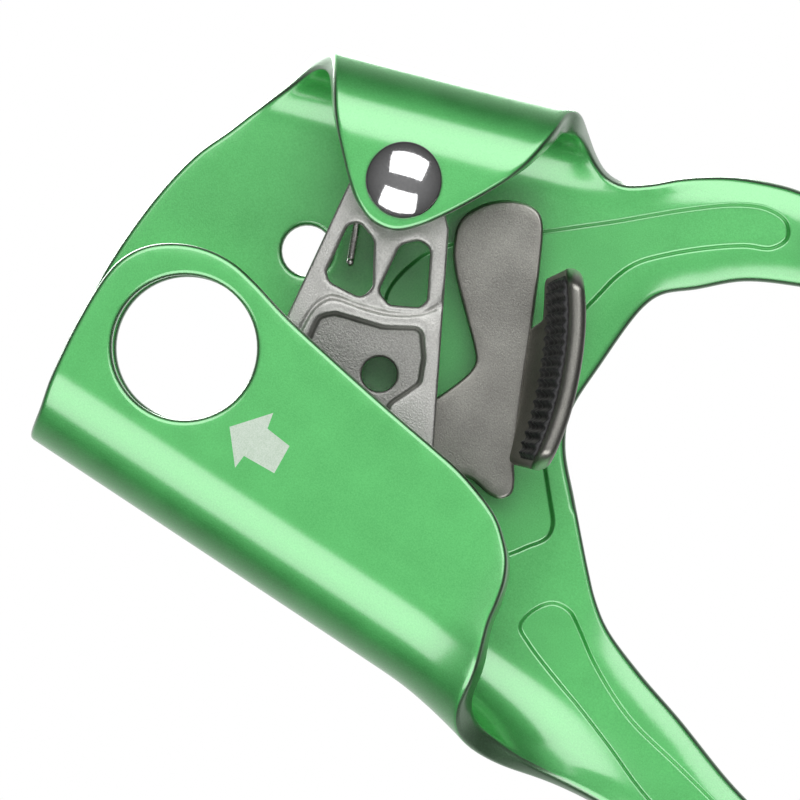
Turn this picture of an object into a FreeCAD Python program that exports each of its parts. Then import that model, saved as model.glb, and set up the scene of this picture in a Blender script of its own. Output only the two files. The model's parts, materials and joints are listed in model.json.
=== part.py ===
import FreeCAD, Part
import math
import os

# Handled rope ascender.
# +Z runs up the rope, +X runs from the rope channel towards the cam axle and
# the hand grip, -Y is the front, where the two folded flaps lie.
# The origin is on the rope's centre line, level with the cam axle.

os.makedirs("parts", exist_ok=True)
doc = FreeCAD.newDocument("ascender")

DIMS = [
    ("sheet_thick", 3.2),        # aluminium sheet of the frame
    ("fold_radius", 11.0),       # outside radius of both folds
    ("axle_x", 43.5),            # cam axle, measured from the rope's centre line
    ("axle_radius", 3.0),
    ("head_radius", 5.0),        # domed rivet head
    ("head_height", 2.3),
    ("head_rim", 0.5),           # straight rim under the dome
    ("tail_radius", 4.6),        # upset end of the rivet, at the back
    ("tail_height", 1.7),
    ("tail_washer_radius", 6.6),
    ("tail_washer_thick", 1.0),
    ("bush_radius", 4.3),
    ("running_gap", 0.05),       # radial clearance of every turning fit
    ("side_gap", 0.3),           # clearance between flat faces that slide
    ("cam_hub_radius", 6.5),
    ("cam_boss_radius", 5.4),    # thinner boss that reaches the flap, inside the fold's curve
    ("cam_front", 5.0),          # cam's front face is this far in front of the rope's axis
    ("cam_back", 3.0),           # and its rear face this far behind it
    ("cam_pocket_depth", 1.4),
    ("tooth_height", 1.4),
    ("tooth_radius", 0.85),
    ("spring_wire", 1.0),
    ("catch_thick", 2.0),
    ("catch_pin_radius", 1.75),
    ("catch_pin_x", 14.5),
    ("catch_pin_z", -17.5),
    ("catch_pin_head", 3.0),
    ("catch_pin_front", 1.5),    # its shank reaches this far in front of the rope's axis
    ("pin_head_thick", 1.0),
    ("coil_radius", 2.6),        # mean radius of the catch's own spring
    ("coil_wire", 0.6),
    ("well_radius", 3.6),        # well in the cam's rear face that holds that spring
    ("well_depth", 2.2),
    ("leg_hole_radius", 0.45),   # holes in the cam and the catch for the spring's two ends
    ("leg_reach", 1.2),          # each end is this long
    ("wing_front", 12.0),        # thumb wing's free edge, in front of the rope's axis
    ("wing_thick", 2.2),
    ("wing_inner", 1.2),         # its inner face, measured from the line of the bend
    ("pad_thick", 1.3),
    ("pad_rear", 0.5),           # the pad starts this far in front of the rope's axis
    ("pad_inset", 1.2),          # and stops this far short of the wing's free edge
    ("upper_hole_radius", 9.35),
    ("lower_hole_radius", 8.5),
    ("foot_hole_radius", 5.0),
    ("cord_hole_radius", 3.3),
    ("recess_depth", 0.8),
    ("shell_depth", 10.6),       # each grip shell, outwards from the frame's face
    ("shell_round", 5.0),
    ("insert_depth", 8.2),       # soft inserts stand this far out of the frame's faces
    ("screw_radius", 1.5),
    ("screw_head_radius", 2.9),
    ("screw_head_height", 2.0),
    ("screw_sink", 0.2),         # the heads lie this far below the shell's face
    ("screw_cover", 2.5),        # plastic left behind a screw's tip
]

sheet = doc.addObject("Spreadsheet::Sheet", "dims")
for row, (alias, value) in enumerate(DIMS, start=1):
    sheet.set("A%d" % row, alias)
    sheet.set("B%d" % row, str(value))
    sheet.setAlias("B%d" % row, alias)
doc.recompute()


def dim(alias):
    """A driving dimension, read back from the sheet."""
    return float(getattr(sheet, alias))


# Levels along Y that everything else is built from.
PLATE_BACK = dim("fold_radius")
PLATE_FRONT = PLATE_BACK - dim("sheet_thick")
INNER_RADIUS = PLATE_FRONT
AXLE_X = dim("axle_x")
CATCH_FRONT = dim("cam_back") + dim("side_gap")
CATCH_BACK = CATCH_FRONT + dim("catch_thick")

# ---------------------------------------------------------------- helpers


def corner_arc(before, corner, after, radius):
    """End points and middle of the arc that rounds one corner of an outline."""
    v1 = (before - corner).normalize()
    v2 = (after - corner).normalize()
    half = math.acos(max(-1.0, min(1.0, v1.dot(v2)))) / 2
    reach = radius / math.tan(half)
    limit = 0.49 * min((before - corner).Length, (after - corner).Length)
    if reach > limit:
        reach = limit
        radius = reach * math.tan(half)
    bisector = (v1 + v2).normalize()
    middle = corner + bisector * (radius / math.sin(half) - radius)
    return corner + v1 * reach, middle, corner + v2 * reach


def rounded(points):
    """Closed outline of lines and tangent arcs from (x, z, corner radius) points."""
    corners = [FreeCAD.Vector(p[0], p[1], 0) for p in points]
    spans = []
    for i, point in enumerate(points):
        if point[2] > 0:
            spans.append(corner_arc(corners[i - 1], corners[i],
                                    corners[(i + 1) % len(points)], point[2]))
        else:
            spans.append((corners[i], None, corners[i]))
    shapes = []
    for i, (start, middle, end) in enumerate(spans):
        if middle is not None:
            shapes.append(Part.Arc(start, middle, end))
        following = spans[(i + 1) % len(spans)][0]
        if (following - end).Length > 1e-6:
            shapes.append(Part.LineSegment(end, following))
    return shapes


def plane(body, role):
    """One origin plane of a body, by its role."""
    for feature in body.Origin.OriginFeatures:
        if feature.Role == role:
            return feature


def add_sketch(body, name, role, geometry, offset=None):
    """A sketch on one of the body's own planes; offset is an expression along its normal."""
    sketch = body.newObject("Sketcher::SketchObject", name)
    sketch.AttachmentSupport = [(plane(body, role), "")]
    sketch.MapMode = "FlatFace"
    if offset is not None:
        sketch.setExpression(".AttachmentOffset.Base.z", offset)
    for shape in geometry:
        sketch.addGeometry(shape, False)
    return sketch


def pad(body, sketch, length):
    """Pad along the sketch's normal; length is an expression."""
    feature = body.newObject("PartDesign::Pad", sketch.Name + "_pad")
    feature.Profile = sketch
    feature.setExpression("Length", length)
    return feature


def pocket_through(body, sketch):
    """Cut a sketch right through the body, both ways."""
    feature = body.newObject("PartDesign::Pocket", sketch.Name + "_cut")
    feature.Profile = sketch
    feature.Type = "ThroughAll"
    feature.Midplane = True
    return feature


def slab(label, outline, back, thick):
    """A flat body in the XZ plane: its rear face is at Y = back, thick reaches forwards."""
    body = doc.addObject("PartDesign::Body", label)
    body.Label = label
    sketch = add_sketch(body, label + "_outline", "XZ_Plane", rounded(outline), "-(%s)" % back)
    pad(body, sketch, thick)
    return body


def rod(name, x, z, radius, front, back):
    """A cylinder along Y between two Y levels; radius and levels are expressions."""
    cylinder = doc.addObject("Part::Cylinder", name)
    cylinder.Placement = FreeCAD.Placement(FreeCAD.Vector(x, 0, z),
                                           FreeCAD.Rotation(FreeCAD.Vector(1, 0, 0), -90))
    cylinder.setExpression("Radius", radius)
    cylinder.setExpression("Placement.Base.y", front)
    cylinder.setExpression("Height", "(%s) - (%s)" % (back, front))
    return cylinder


def combine(kind, name, *shapes):
    """Part::MultiFuse, Part::MultiCommon or a Part::Cut of a base and its tools."""
    feature = doc.addObject(kind, name)
    if kind == "Part::Cut":
        feature.Base = shapes[0]
        feature.Tool = shapes[1]
    else:
        feature.Shapes = list(shapes)
    return feature


def named(feature, label):
    """Give a finished sub-part the label that names its file."""
    feature.Label = label
    return feature


# ---------------------------------------------------------------- frame outlines

FOLD_TILT = -18.9                 # degrees: the cam fold leans outwards going down
FOLD_TOP = (42.5, 13.8)           # a point on the cam fold's axis
CHANNEL_TOP = 27.0
CHANNEL_FOOT = -62.0


def on_fold_axis(z):
    """X of the cam fold's axis at a height."""
    return FOLD_TOP[0] - (z - FOLD_TOP[1]) * math.tan(math.radians(-FOLD_TILT))


PLATE = [
    (0, 24.6, 0), (13.5, 26.8, 40), (30, 26.2, 30), (on_fold_axis(21.4), 21.4, 0),
    (on_fold_axis(-21.2), -21.2, 0), (59.1, -21.2, 0), (59.1, -23.6, 2), (67.7, -34.9, 25),
    (71.8, -46, 20), (72.6, -61, 40), (72, -78, 60), (68.5, -97, 60), (61.3, -116, 60),
    (50, -134, 30), (36, -148, 30), (20, -157.5, 20), (1, -160.5, 12), (-12, -156, 10),
    (-20.5, -144, 12), (-20.5, -131, 20), (-14.5, -106, 60), (-10.4, -80, 60),
    (-10.4, -60, 14), (0, -45, 0),
]
HAND_OPENING = [
    (28.4, -35.0, 6), (47.6, -34.6, 6), (59.3, -46, 10), (64.4, -61, 10), (58.4, -71, 12),
    (55.6, -83, 40), (51.2, -99, 60), (46.2, -115, 40), (39.6, -131, 10), (12, -129.5, 12),
    (1.5, -118, 14), (-0.8, -92, 60), (5.5, -67.5, 40), (10, -53.5, 12), (22, -41, 40),
]
CHANNEL_FLAP = [
    (-15, 20.2, 0), (-9, 22.8, 20), (1.7, 24.8, 60), (13.2, 25.8, 9), (22.6, 18.5, 10),
    (21.5, 7, 30), (18.0, -13.6, 60), (16.2, -29.5, 20), (11.5, -38.2, 9), (1.7, -41, 30),
    (-6.4, -43.2, 20), (-15, -46.6, 0),
]
CAM_FLAP = [
    (70, 22.7, 0), (52.4, 17.2, 0), (46.6, 13, 20), (38.5, 5, 14), (34.6, -2.4, 7),
    (47, -9.6, 20), (56, -12.9, 20), (63.3, -13, 0), (75, -13, 0),
]
FOLD_BACK = [
    (30, 24.3, 0), (52.9, 17.4, 0), (75, 10.8, 0), (75, -9, 0), (63.3, -13.9, 4),
    (59.1, -21.2, 0), (on_fold_axis(-21.2), -21.2, 0), (30, -21.2, 0),
]
ARM_RECESS = [
    (46, -19, 3), (66, -38.4, 8), (67.4, -44, 3), (63.8, -45.6, 3), (58.3, -37.6, 20),
    (50, -29.8, 12), (40, -28.6, 3),
]
STRUT_RECESS = [
    (5.6, -44.6, 1.5), (9, -47.4, 2), (4.6, -55.5, 20), (-2, -74, 30), (-4.2, -92, 30),
    (-7.6, -92, 2), (-6.5, -72, 30), (-1.5, -57, 20), (2.8, -45.6, 2),
]

# Stretches of the back plate, from their lower left to their upper right corners.
PLATE_SPANS = [
    ("upper_plate", -30, -33, 90, 40), ("strut", -30, -128, 28.4, -33),
    ("grip_side", 28.4, -128, 90, -33), ("foot", -30, -170, 90, -128),
]

UPPER_HOLE = (9.9, 11.7)
CORD_HOLE = (29.2, 5.7)
LOWER_HOLE = (10, -145)
FOOT_HOLE = (-10.5, -143)
SCREWS = [(68, -57), (63, -86), (50.5, -119)]

# ---------------------------------------------------------------- frame


FLAP_REACH = 28                   # each flap's blank, before its outline trims it


def folded_sheet(label, side, top, foot):
    """A half-round fold about its own Z axis with one flat front flap, side +1 or -1."""
    outer = dim("fold_radius")
    reach = -side * FLAP_REACH
    body = doc.addObject("PartDesign::Body", label)
    vec = FreeCAD.Vector
    geometry = [
        Part.Arc(vec(0, outer, 0), vec(side * outer, 0, 0), vec(0, -outer, 0)),
        Part.LineSegment(vec(0, -outer, 0), vec(reach, -outer, 0)),
        Part.LineSegment(vec(reach, -outer, 0), vec(reach, -INNER_RADIUS, 0)),
        Part.LineSegment(vec(reach, -INNER_RADIUS, 0), vec(0, -INNER_RADIUS, 0)),
        Part.Arc(vec(0, -INNER_RADIUS, 0), vec(side * INNER_RADIUS, 0, 0), vec(0, INNER_RADIUS, 0)),
        Part.LineSegment(vec(0, INNER_RADIUS, 0), vec(0, outer, 0)),
    ]
    sketch = add_sketch(body, label + "_section", "XY_Plane", geometry, str(foot))
    pad(body, sketch, "%s - (%s)" % (top, foot))
    return body


def trim_prism(label, outline, front, back):
    """A prism that keeps the part of a fold inside an outline, between two Y levels."""
    return slab(label, outline, str(back), "%s - (%s)" % (back, front))


def build_frame():
    plate = slab("plate", PLATE, "dims.fold_radius", "dims.sheet_thick")
    opening = add_sketch(plate, "hand_opening", "XZ_Plane", rounded(HAND_OPENING))
    pocket_through(plate, opening)

    channel = folded_sheet("channel_fold", -1, CHANNEL_TOP, CHANNEL_FOOT)
    front = combine("Part::MultiCommon", "channel_front", channel,
                    trim_prism("channel_trim", CHANNEL_FLAP, -13, 0))
    # Below the flap the curled edge runs back to the plate in a long slope.
    slope = doc.addObject("PartDesign::Body", "channel_slope")
    side_view = [
        (0, CHANNEL_TOP, 0), (0, -45.8, 0), (4, -53, 10), (PLATE_BACK + 1, CHANNEL_FOOT + 0.6, 0),
        (PLATE_BACK + 1, CHANNEL_TOP, 0),
    ]
    sketch = add_sketch(slope, "slope_outline", "YZ_Plane", rounded(side_view), "-15")
    pad(slope, sketch, "20")
    top_cut = [(-15, 21, 0), (-9, 23, 20), (0, 24.6, 0), (5, 24.6, 0), (5, -70, 0), (-15, -70, 0)]
    rear = combine("Part::MultiCommon", "channel_rear", channel, slope,
                   trim_prism("channel_top_trim", top_cut, 0, 13))

    fold = folded_sheet("cam_fold", 1, 25, -45)
    fold.Placement = FreeCAD.Placement(FreeCAD.Vector(FOLD_TOP[0], 0, FOLD_TOP[1]),
                                       FreeCAD.Rotation(FreeCAD.Vector(0, 1, 0), FOLD_TILT))
    fold_front = combine("Part::MultiCommon", "cam_fold_front", fold,
                         trim_prism("cam_flap_trim", CAM_FLAP, -13, 0))
    fold_rear = combine("Part::MultiCommon", "cam_fold_rear", fold,
                        trim_prism("cam_fold_trim", FOLD_BACK, 0, 13))

    # The one sheet is kept as solids that meet face to face, so that collision follows each bend.
    channel_sheet = combine("Part::MultiFuse", "channel_sheet", front, rear)
    fold_sheet = combine("Part::MultiFuse", "fold_sheet", fold_front, fold_rear)
    blanks = [
        ("channel", combine("Part::Cut", "channel_blank", channel_sheet, plate)),
        ("cam_side", combine("Part::Cut", "cam_side_blank", fold_sheet, plate)),
    ]
    for name, left, low, right, high in PLATE_SPANS:
        corners = [(left, low, 0), (right, low, 0), (right, high, 0), (left, high, 0)]
        span = trim_prism(name + "_span", corners, 0, 13)
        blanks.append((name, combine("Part::MultiCommon", name + "_blank", plate, span)))

    depth = "dims.fold_radius - dims.sheet_thick + dims.recess_depth"
    cuts = [
        rod("upper_hole", *UPPER_HOLE, "dims.upper_hole_radius", "-15", "15"),
        rod("cord_hole", *CORD_HOLE, "dims.cord_hole_radius", "0", "15"),
        rod("lower_hole", *LOWER_HOLE, "dims.lower_hole_radius", "0", "15"),
        rod("foot_hole", *FOOT_HOLE, "dims.foot_hole_radius", "0", "15"),
        rod("axle_hole", AXLE_X, 0, "dims.axle_radius", "-15", "15"),
        slab("arm_recess", ARM_RECESS, depth, "dims.recess_depth + 1"),
        slab("strut_recess", STRUT_RECESS, depth, "dims.recess_depth + 1"),
    ]
    for number, (x, z) in enumerate(SCREWS):
        cuts.append(rod("frame_screw_hole_%d" % number, x, z, "dims.screw_radius", "0", "15"))
    tools = combine("Part::MultiFuse", "frame_cuts", *cuts)
    sheet_parts = doc.addObject("Part::Compound", "frame_sheet")
    sheet_parts.Links = [combine("Part::Cut", name + "_cut", blank, tools)
                         for name, blank in blanks]
    return named(sheet_parts, "frame")


# ---------------------------------------------------------------- cam axle


def dome(radius, rise, level, towards):
    """Arc of a spherical dome in a half section, from its rim at level to its top."""
    sphere = (radius ** 2 + rise ** 2) / (2 * rise)
    half = math.asin(radius / sphere) / 2
    middle = level + towards * (rise - sphere + sphere * math.cos(half))
    return Part.Arc(FreeCAD.Vector(radius, level, 0),
                    FreeCAD.Vector(sphere * math.sin(half), middle, 0),
                    FreeCAD.Vector(0, level + towards * rise, 0))


def build_axle():
    """Domed rivet that holds the cam, its tail upset over a washer at the back."""
    vec = FreeCAD.Vector
    radius = dim("axle_radius")
    head = dim("head_radius")
    rim = dim("head_rim")
    face = dim("fold_radius")
    crown = face + dim("head_height")
    seat = face + dim("tail_washer_thick")
    tail = seat + dim("tail_height")
    body = doc.addObject("PartDesign::Body", "cam_axle_body")
    # Half section in the XY plane; X is the radius and the rivet's axis lies along Y.
    geometry = [
        Part.LineSegment(vec(0, -crown, 0), vec(0, tail, 0)),
        dome(dim("tail_radius"), dim("tail_height"), seat, 1),
        Part.LineSegment(vec(dim("tail_radius"), seat, 0), vec(radius, seat, 0)),
        Part.LineSegment(vec(radius, seat, 0), vec(radius, -face, 0)),
        Part.LineSegment(vec(radius, -face, 0), vec(head, -face, 0)),
        Part.LineSegment(vec(head, -face, 0), vec(head, -face - rim, 0)),
        dome(head, dim("head_height") - rim, -face - rim, -1),
    ]
    sketch = add_sketch(body, "axle_section", "XY_Plane", geometry)
    turn = body.newObject("PartDesign::Revolution", "axle_turn")
    turn.Profile = sketch
    turn.ReferenceAxis = (sketch, ["V_Axis"])
    turn.Angle = 360
    body.Placement = FreeCAD.Placement(vec(AXLE_X, 0, 0), FreeCAD.Rotation())
    return named(body, "cam_axle")


def ring(label, x, z, outer, inner, front, back):
    """A flat ring or sleeve along Y."""
    outside = rod(label + "_outside", x, z, outer, front, back)
    inside = rod(label + "_inside", x, z, inner, "(%s) - 1" % front, "(%s) + 1" % back)
    return named(combine("Part::Cut", label + "_ring", outside, inside), label)


def build_axle_rings():
    face = "dims.fold_radius - dims.sheet_thick"
    return [
        ring("axle_washer", AXLE_X, 0, "dims.tail_washer_radius", "dims.axle_radius",
             "dims.fold_radius", "dims.fold_radius + dims.tail_washer_thick"),
        ring("cam_bush", AXLE_X, 0, "dims.bush_radius", "dims.axle_radius",
             "-(%s) + dims.running_gap" % face, face),
    ]


# ---------------------------------------------------------------- cam

SPIRAL_ANGLE = math.radians(25)   # the rope meets the cam at this angle below the axle
SPIRAL_RADIUS = 52.4              # radius of the toothed face at that angle


def face_point(degrees, rise=0.0):
    """A point of the toothed face, an even spiral about the axle, at an angle below it."""
    angle = math.radians(degrees)
    radius = SPIRAL_RADIUS * math.exp((angle - SPIRAL_ANGLE) * math.tan(SPIRAL_ANGLE)) + rise
    return AXLE_X - radius * math.cos(angle), -radius * math.sin(angle)


LEFT_WINDOW = [
    (34.5, 2.9, 0.7), (35.8, 1.8, 0.9), (35.0, -1.1, 0.7), (29.4, -4.2, 0.8), (28.0, -3.4, 0.8),
    (27.4, 1.0, 0.8), (28.6, 1.9, 0.7),
]
RIGHT_WINDOW = [
    (36.3, -4.2, 0.7), (38.1, -5.9, 0.9), (38.1, -7.6, 0.7), (32.0, -11.0, 0.9), (29.4, -7.2, 0.8),
    (30.0, -5.5, 0.7),
]
CAM_POCKET = [
    (8.0, -4.0, 3), (22.8, -0.4, 1.5), (24.6, -2.4, 1.5), (26.3, -8.2, 3), (28.9, -12.4, 1.2),
    (23.3, -16.2, 1.5), (8.0, -23.0, 3), (4.0, -14.0, 4),
]
CAM_HOLE = (20.9, -11.1, 2.3)     # x, z and radius
SPRING_END = (31.0, 0.1)          # where the spring's long end turns into the left window
SPRING_REST = (51.6, 5.4, -1.6)   # where its short end touches the fold


def build_cam():
    vec = FreeCAD.Vector
    body = doc.addObject("PartDesign::Body", "cam_plate")
    rows = [face_point(angle) for angle in range(0, 34, 3)]
    face = Part.BSplineCurve()
    face.interpolate([vec(x, z, 0) for x, z in rows])
    foot = vec(rows[-1][0], rows[-1][1], 0)
    top = vec(rows[0][0], rows[0][1], 0)
    corner = vec(rows[-1][0] + 3.4, rows[-1][1] - 1.6, 0)
    heel = vec(AXLE_X - 0.6, -6.45, 0)
    crown = vec(AXLE_X - 1.6, 6.3, 0)
    geometry = [
        face,
        Part.Arc(foot, vec(foot.x + 1.0, foot.y - 1.7, 0), corner),
        Part.LineSegment(corner, heel),
        Part.LineSegment(heel, crown),
        Part.LineSegment(crown, top),
    ]
    outline = add_sketch(body, "cam_outline", "XZ_Plane", geometry, "-dims.cam_back")
    pad(body, outline, "dims.cam_back + dims.cam_front")
    for name, points in (("left_window", LEFT_WINDOW), ("right_window", RIGHT_WINDOW)):
        pocket_through(body, add_sketch(body, name, "XZ_Plane", rounded(points)))

    hub = rod("cam_hub", AXLE_X, 0, "dims.cam_hub_radius", "-dims.cam_front", "dims.cam_back")
    boss = rod("cam_boss", AXLE_X, 0, "dims.cam_boss_radius",
               "dims.side_gap - dims.fold_radius + dims.sheet_thick", "0")
    pocket = slab("cam_pocket", CAM_POCKET, "dims.cam_pocket_depth - dims.cam_front", "5")
    teeth = []
    for row in range(10):
        angle = 1.5 + 3.0 * row
        columns = (-3.2, -0.7, 1.8) if row % 2 == 0 else (-1.95, 0.55)
        for column in columns:
            tooth = doc.addObject("Part::Cone", "tooth_%d_%d" % (row, len(teeth)))
            tooth.setExpression("Radius1", "dims.tooth_radius")
            tooth.Radius2 = 0.12
            tooth.setExpression("Height", "dims.tooth_height + 0.5")
            x, z = face_point(angle, -0.5)
            out = vec(-math.cos(math.radians(angle)), 0, -math.sin(math.radians(angle)))
            tooth.Placement = FreeCAD.Placement(vec(x, column, z),
                                                FreeCAD.Rotation(vec(0, 0, 1), out))
            teeth.append(tooth)
    blank = combine("Part::MultiFuse", "cam_blank", body, hub, boss, *teeth)
    x, z, radius = CAM_HOLE
    cuts = combine(
        "Part::MultiFuse", "cam_cuts", pocket,
        rod("cam_round_hole", x, z, str(radius), "-10", "10"),
        rod("cam_bore", AXLE_X, 0, "dims.bush_radius + dims.running_gap", "-10", "10"),
        rod("catch_pin_bore", dim("catch_pin_x"), dim("catch_pin_z"), "dims.catch_pin_radius",
            "-dims.catch_pin_front", "10"),
        rod("catch_spring_well", dim("catch_pin_x"), dim("catch_pin_z"), "dims.well_radius",
            "dims.cam_back - dims.well_depth", "10"),
        rod("cam_leg_hole", dim("catch_pin_x") + dim("coil_radius"), dim("catch_pin_z"),
            "dims.leg_hole_radius", "-0.6", "10"))
    return named(combine("Part::Cut", "cam_cut", blank, cuts), "cam")


# ---------------------------------------------------------------- springs


def bent_run(points, reach):
    """A run of wire through points, each corner eased over reach."""
    run = [points[0]]
    for before, corner, after in zip(points, points[1:], points[2:]):
        inwards = corner + (before - corner).normalize() * reach
        outwards = corner + (after - corner).normalize() * reach
        run += [inwards, (inwards + corner * 2 + outwards) / 4, outwards]
    return run


def coil(label, centre, radius, wire, start, sweep, first_leg, last_leg):
    """Torsion spring about a Y axis, wound clockwise seen from the front.

    centre is the axis at the level of the first turn, start and sweep are in degrees,
    and each leg is the list of points that end runs on to, the nearest first.
    """
    pitch = wire * 1.12
    turn = []
    for step in range(0, int(sweep) + 1, 30):
        angle = math.radians(start - step)
        turn.append(centre + FreeCAD.Vector(radius * math.cos(angle), pitch * step / 360,
                                            radius * math.sin(angle)))
    ease = wire * 1.5
    # The first and last points of the turns give way to the eased bends.
    head = bent_run([*reversed(first_leg), turn[0], turn[1]], ease)
    tail = bent_run([*reversed(last_leg), turn[-1], turn[-2]], ease)
    path = Part.BSplineCurve()
    path.interpolate(head + turn[1:-1] + tail[::-1])
    edge = path.toShape()
    begin = edge.FirstParameter
    profile = Part.Wire(Part.makeCircle(wire / 2, edge.valueAt(begin), edge.tangentAt(begin)))
    feature = doc.addObject("Part::Feature", label)
    feature.Shape = Part.Wire(edge).makePipeShell([profile], True, True)
    return named(feature, label)


def build_cam_spring():
    """One end is bent forwards into the cam's left window, the other leans on the fold."""
    wire = dim("spring_wire")
    level = dim("cam_back") + dim("side_gap") + wire / 2
    end = FreeCAD.Vector(SPRING_END[0], level, SPRING_END[1])
    hook = end - FreeCAD.Vector(0, dim("leg_reach") + wire, 0)
    return coil("cam_spring", FreeCAD.Vector(AXLE_X, level, 0), dim("bush_radius") + wire, wire,
                115, 780, [end, hook], [FreeCAD.Vector(*SPRING_REST)])


# ---------------------------------------------------------------- catch

CATCH = [
    (41.6, -9.0, 2.5), (46, -8.4, 5), (50.5, -13.5, 4), (50.1, -17.4, 2.4), (37, -24.2, 10),
    (20.6, -32.4, 4), (17.2, -34.4, 1.6), (15.6, -32, 1.6), (16, -27, 4), (9.8, -20, 4.4),
    (12.5, -12.6, 4.4), (19, -14, 4.4), (22.5, -19, 1.5), (27.9, -20.9, 1.5), (30, -20.5, 2),
    (37.2, -12.1, 6),
]
WING_FOOT = ((42.5, -21.4), (20.8, -32.0))     # both ends of the bend, where the wing starts
WING_EDGE = ((45.6, -24.6), (22.6, -35.0))     # both ends of the free edge, at the front
FOOT_BULGE = 0.6                               # the bend is bowed outwards by this much
EDGE_BULGE = 2.4                               # and the free edge by this much


def strip(ends, bulge, inner, outer):
    """Closed band between two arcs that follow a bowed line from one end to the other."""
    vec = FreeCAD.Vector
    (x1, z1), (x2, z2) = ends
    along = vec(x2 - x1, z2 - z1, 0)
    across = vec(along.y, -along.x, 0).normalize() * -1
    middle = vec((x1 + x2) / 2, (z1 + z2) / 2, 0) + across * bulge
    first = vec(x1, z1, 0)
    last = vec(x2, z2, 0)
    return [
        Part.Arc(first + across * inner, middle + across * inner, last + across * inner),
        Part.LineSegment(last + across * inner, last + across * outer),
        Part.Arc(last + across * outer, middle + across * outer, first + across * outer),
        Part.LineSegment(first + across * outer, first + across * inner),
    ]


def leaning_wall(label, foot_level, edge_level, inner, outer):
    """The wall between the bend and the free edge, as a loft between two bowed bands."""
    body = doc.addObject("PartDesign::Body", label + "_body")
    low = add_sketch(body, label + "_foot", "XZ_Plane",
                     strip(WING_FOOT, FOOT_BULGE, inner, outer), "-(%s)" % foot_level)
    high = add_sketch(body, label + "_edge", "XZ_Plane",
                      strip(WING_EDGE, EDGE_BULGE, inner, outer), "-(%s)" % edge_level)
    loft = body.newObject("PartDesign::AdditiveLoft", label + "_loft")
    loft.Profile = low
    loft.Sections = [high]
    loft.Ruled = True
    return body


def build_catch():
    back = "dims.cam_back + dims.side_gap + dims.catch_thick"
    flat = slab("catch_plate", CATCH, back, "dims.catch_thick")
    inner = -dim("wing_inner")
    wing = leaning_wall("wing", back, "-dims.wing_front", inner, inner + dim("wing_thick"))
    blank = combine("Part::MultiFuse", "catch_blank", flat, wing)
    bore = rod("catch_bore", dim("catch_pin_x"), dim("catch_pin_z"),
               "dims.catch_pin_radius + dims.running_gap", "0", "10")
    leg_hole = rod("catch_leg_hole", dim("catch_pin_x"),
                   dim("catch_pin_z") - dim("coil_radius"), "dims.leg_hole_radius", "0", "10")
    holes = combine("Part::MultiFuse", "catch_holes", bore, leg_hole)
    catch = named(combine("Part::Cut", "catch_cut", blank, holes), "catch")
    # The pad starts a little inside the wing and is cut back to the wing's own face.
    pad_body = leaning_wall("thumb_pad", "-dims.pad_rear", "dims.pad_inset - dims.wing_front",
                            inner - dim("pad_thick"), inner + 0.1)
    fitted = combine("Part::Cut", "thumb_pad_cut", pad_body, wing)
    return [catch, named(fitted, "thumb_pad")]


def build_catch_pin():
    """Headed pin: its shank is held in the cam and the catch turns on it."""
    x = dim("catch_pin_x")
    z = dim("catch_pin_z")
    back = "dims.cam_back + dims.side_gap + dims.catch_thick + 2 * dims.running_gap"
    shank = rod("pin_shank", x, z, "dims.catch_pin_radius", "-dims.catch_pin_front", back)
    head = rod("pin_head", x, z, "dims.catch_pin_head", back,
               "%s + dims.pin_head_thick" % back)
    pin = named(combine("Part::MultiFuse", "catch_pin_solid", shank, head), "catch_pin")
    radius = dim("coil_radius")
    reach = dim("leg_reach")
    # The first turn lies just above the floor of the well.
    front = dim("cam_back") - dim("well_depth") + dim("coil_wire") - 0.1
    spring = coil("catch_spring", FreeCAD.Vector(x, front, z), radius, dim("coil_wire"), 0, 810,
                  [FreeCAD.Vector(x + radius, front - reach, z)],
                  [FreeCAD.Vector(x, CATCH_FRONT + reach, z - radius)])
    return [pin, spring]


# ---------------------------------------------------------------- grip

GRIP_INNER = [
    (61.9, -52.6, 1), (58.6, -60, 8), (51.6, -69.5, 10), (48, -82, 40), (44, -98, 60),
    (39, -114, 60), (33.8, -127.4, 2),
]
SHELL_INNER = [
    (62.7, -53, 0), (63.2, -60, 10), (57, -71, 12), (54.3, -83, 40), (50, -99, 60),
    (45, -115, 40), (38.8, -129.2, 0),
]
SHELL_OUTER = [
    (47.2, -138, 0), (52.6, -132.2, 20), (62.9, -116.8, 60), (70.2, -97.4, 60), (73.8, -78, 60),
    (74.2, -60, 40), (72.6, -47.6, 0),
]
GRIP_OUTER = [
    (49.8, -139.6, 2), (56, -133.6, 20), (66.4, -118, 60), (73.8, -98, 60), (77.2, -78, 60),
    (77.4, -60, 40), (75, -47, 2),
]


SCREW_TIP = "dims.fold_radius + dims.shell_depth - dims.screw_cover"


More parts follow.
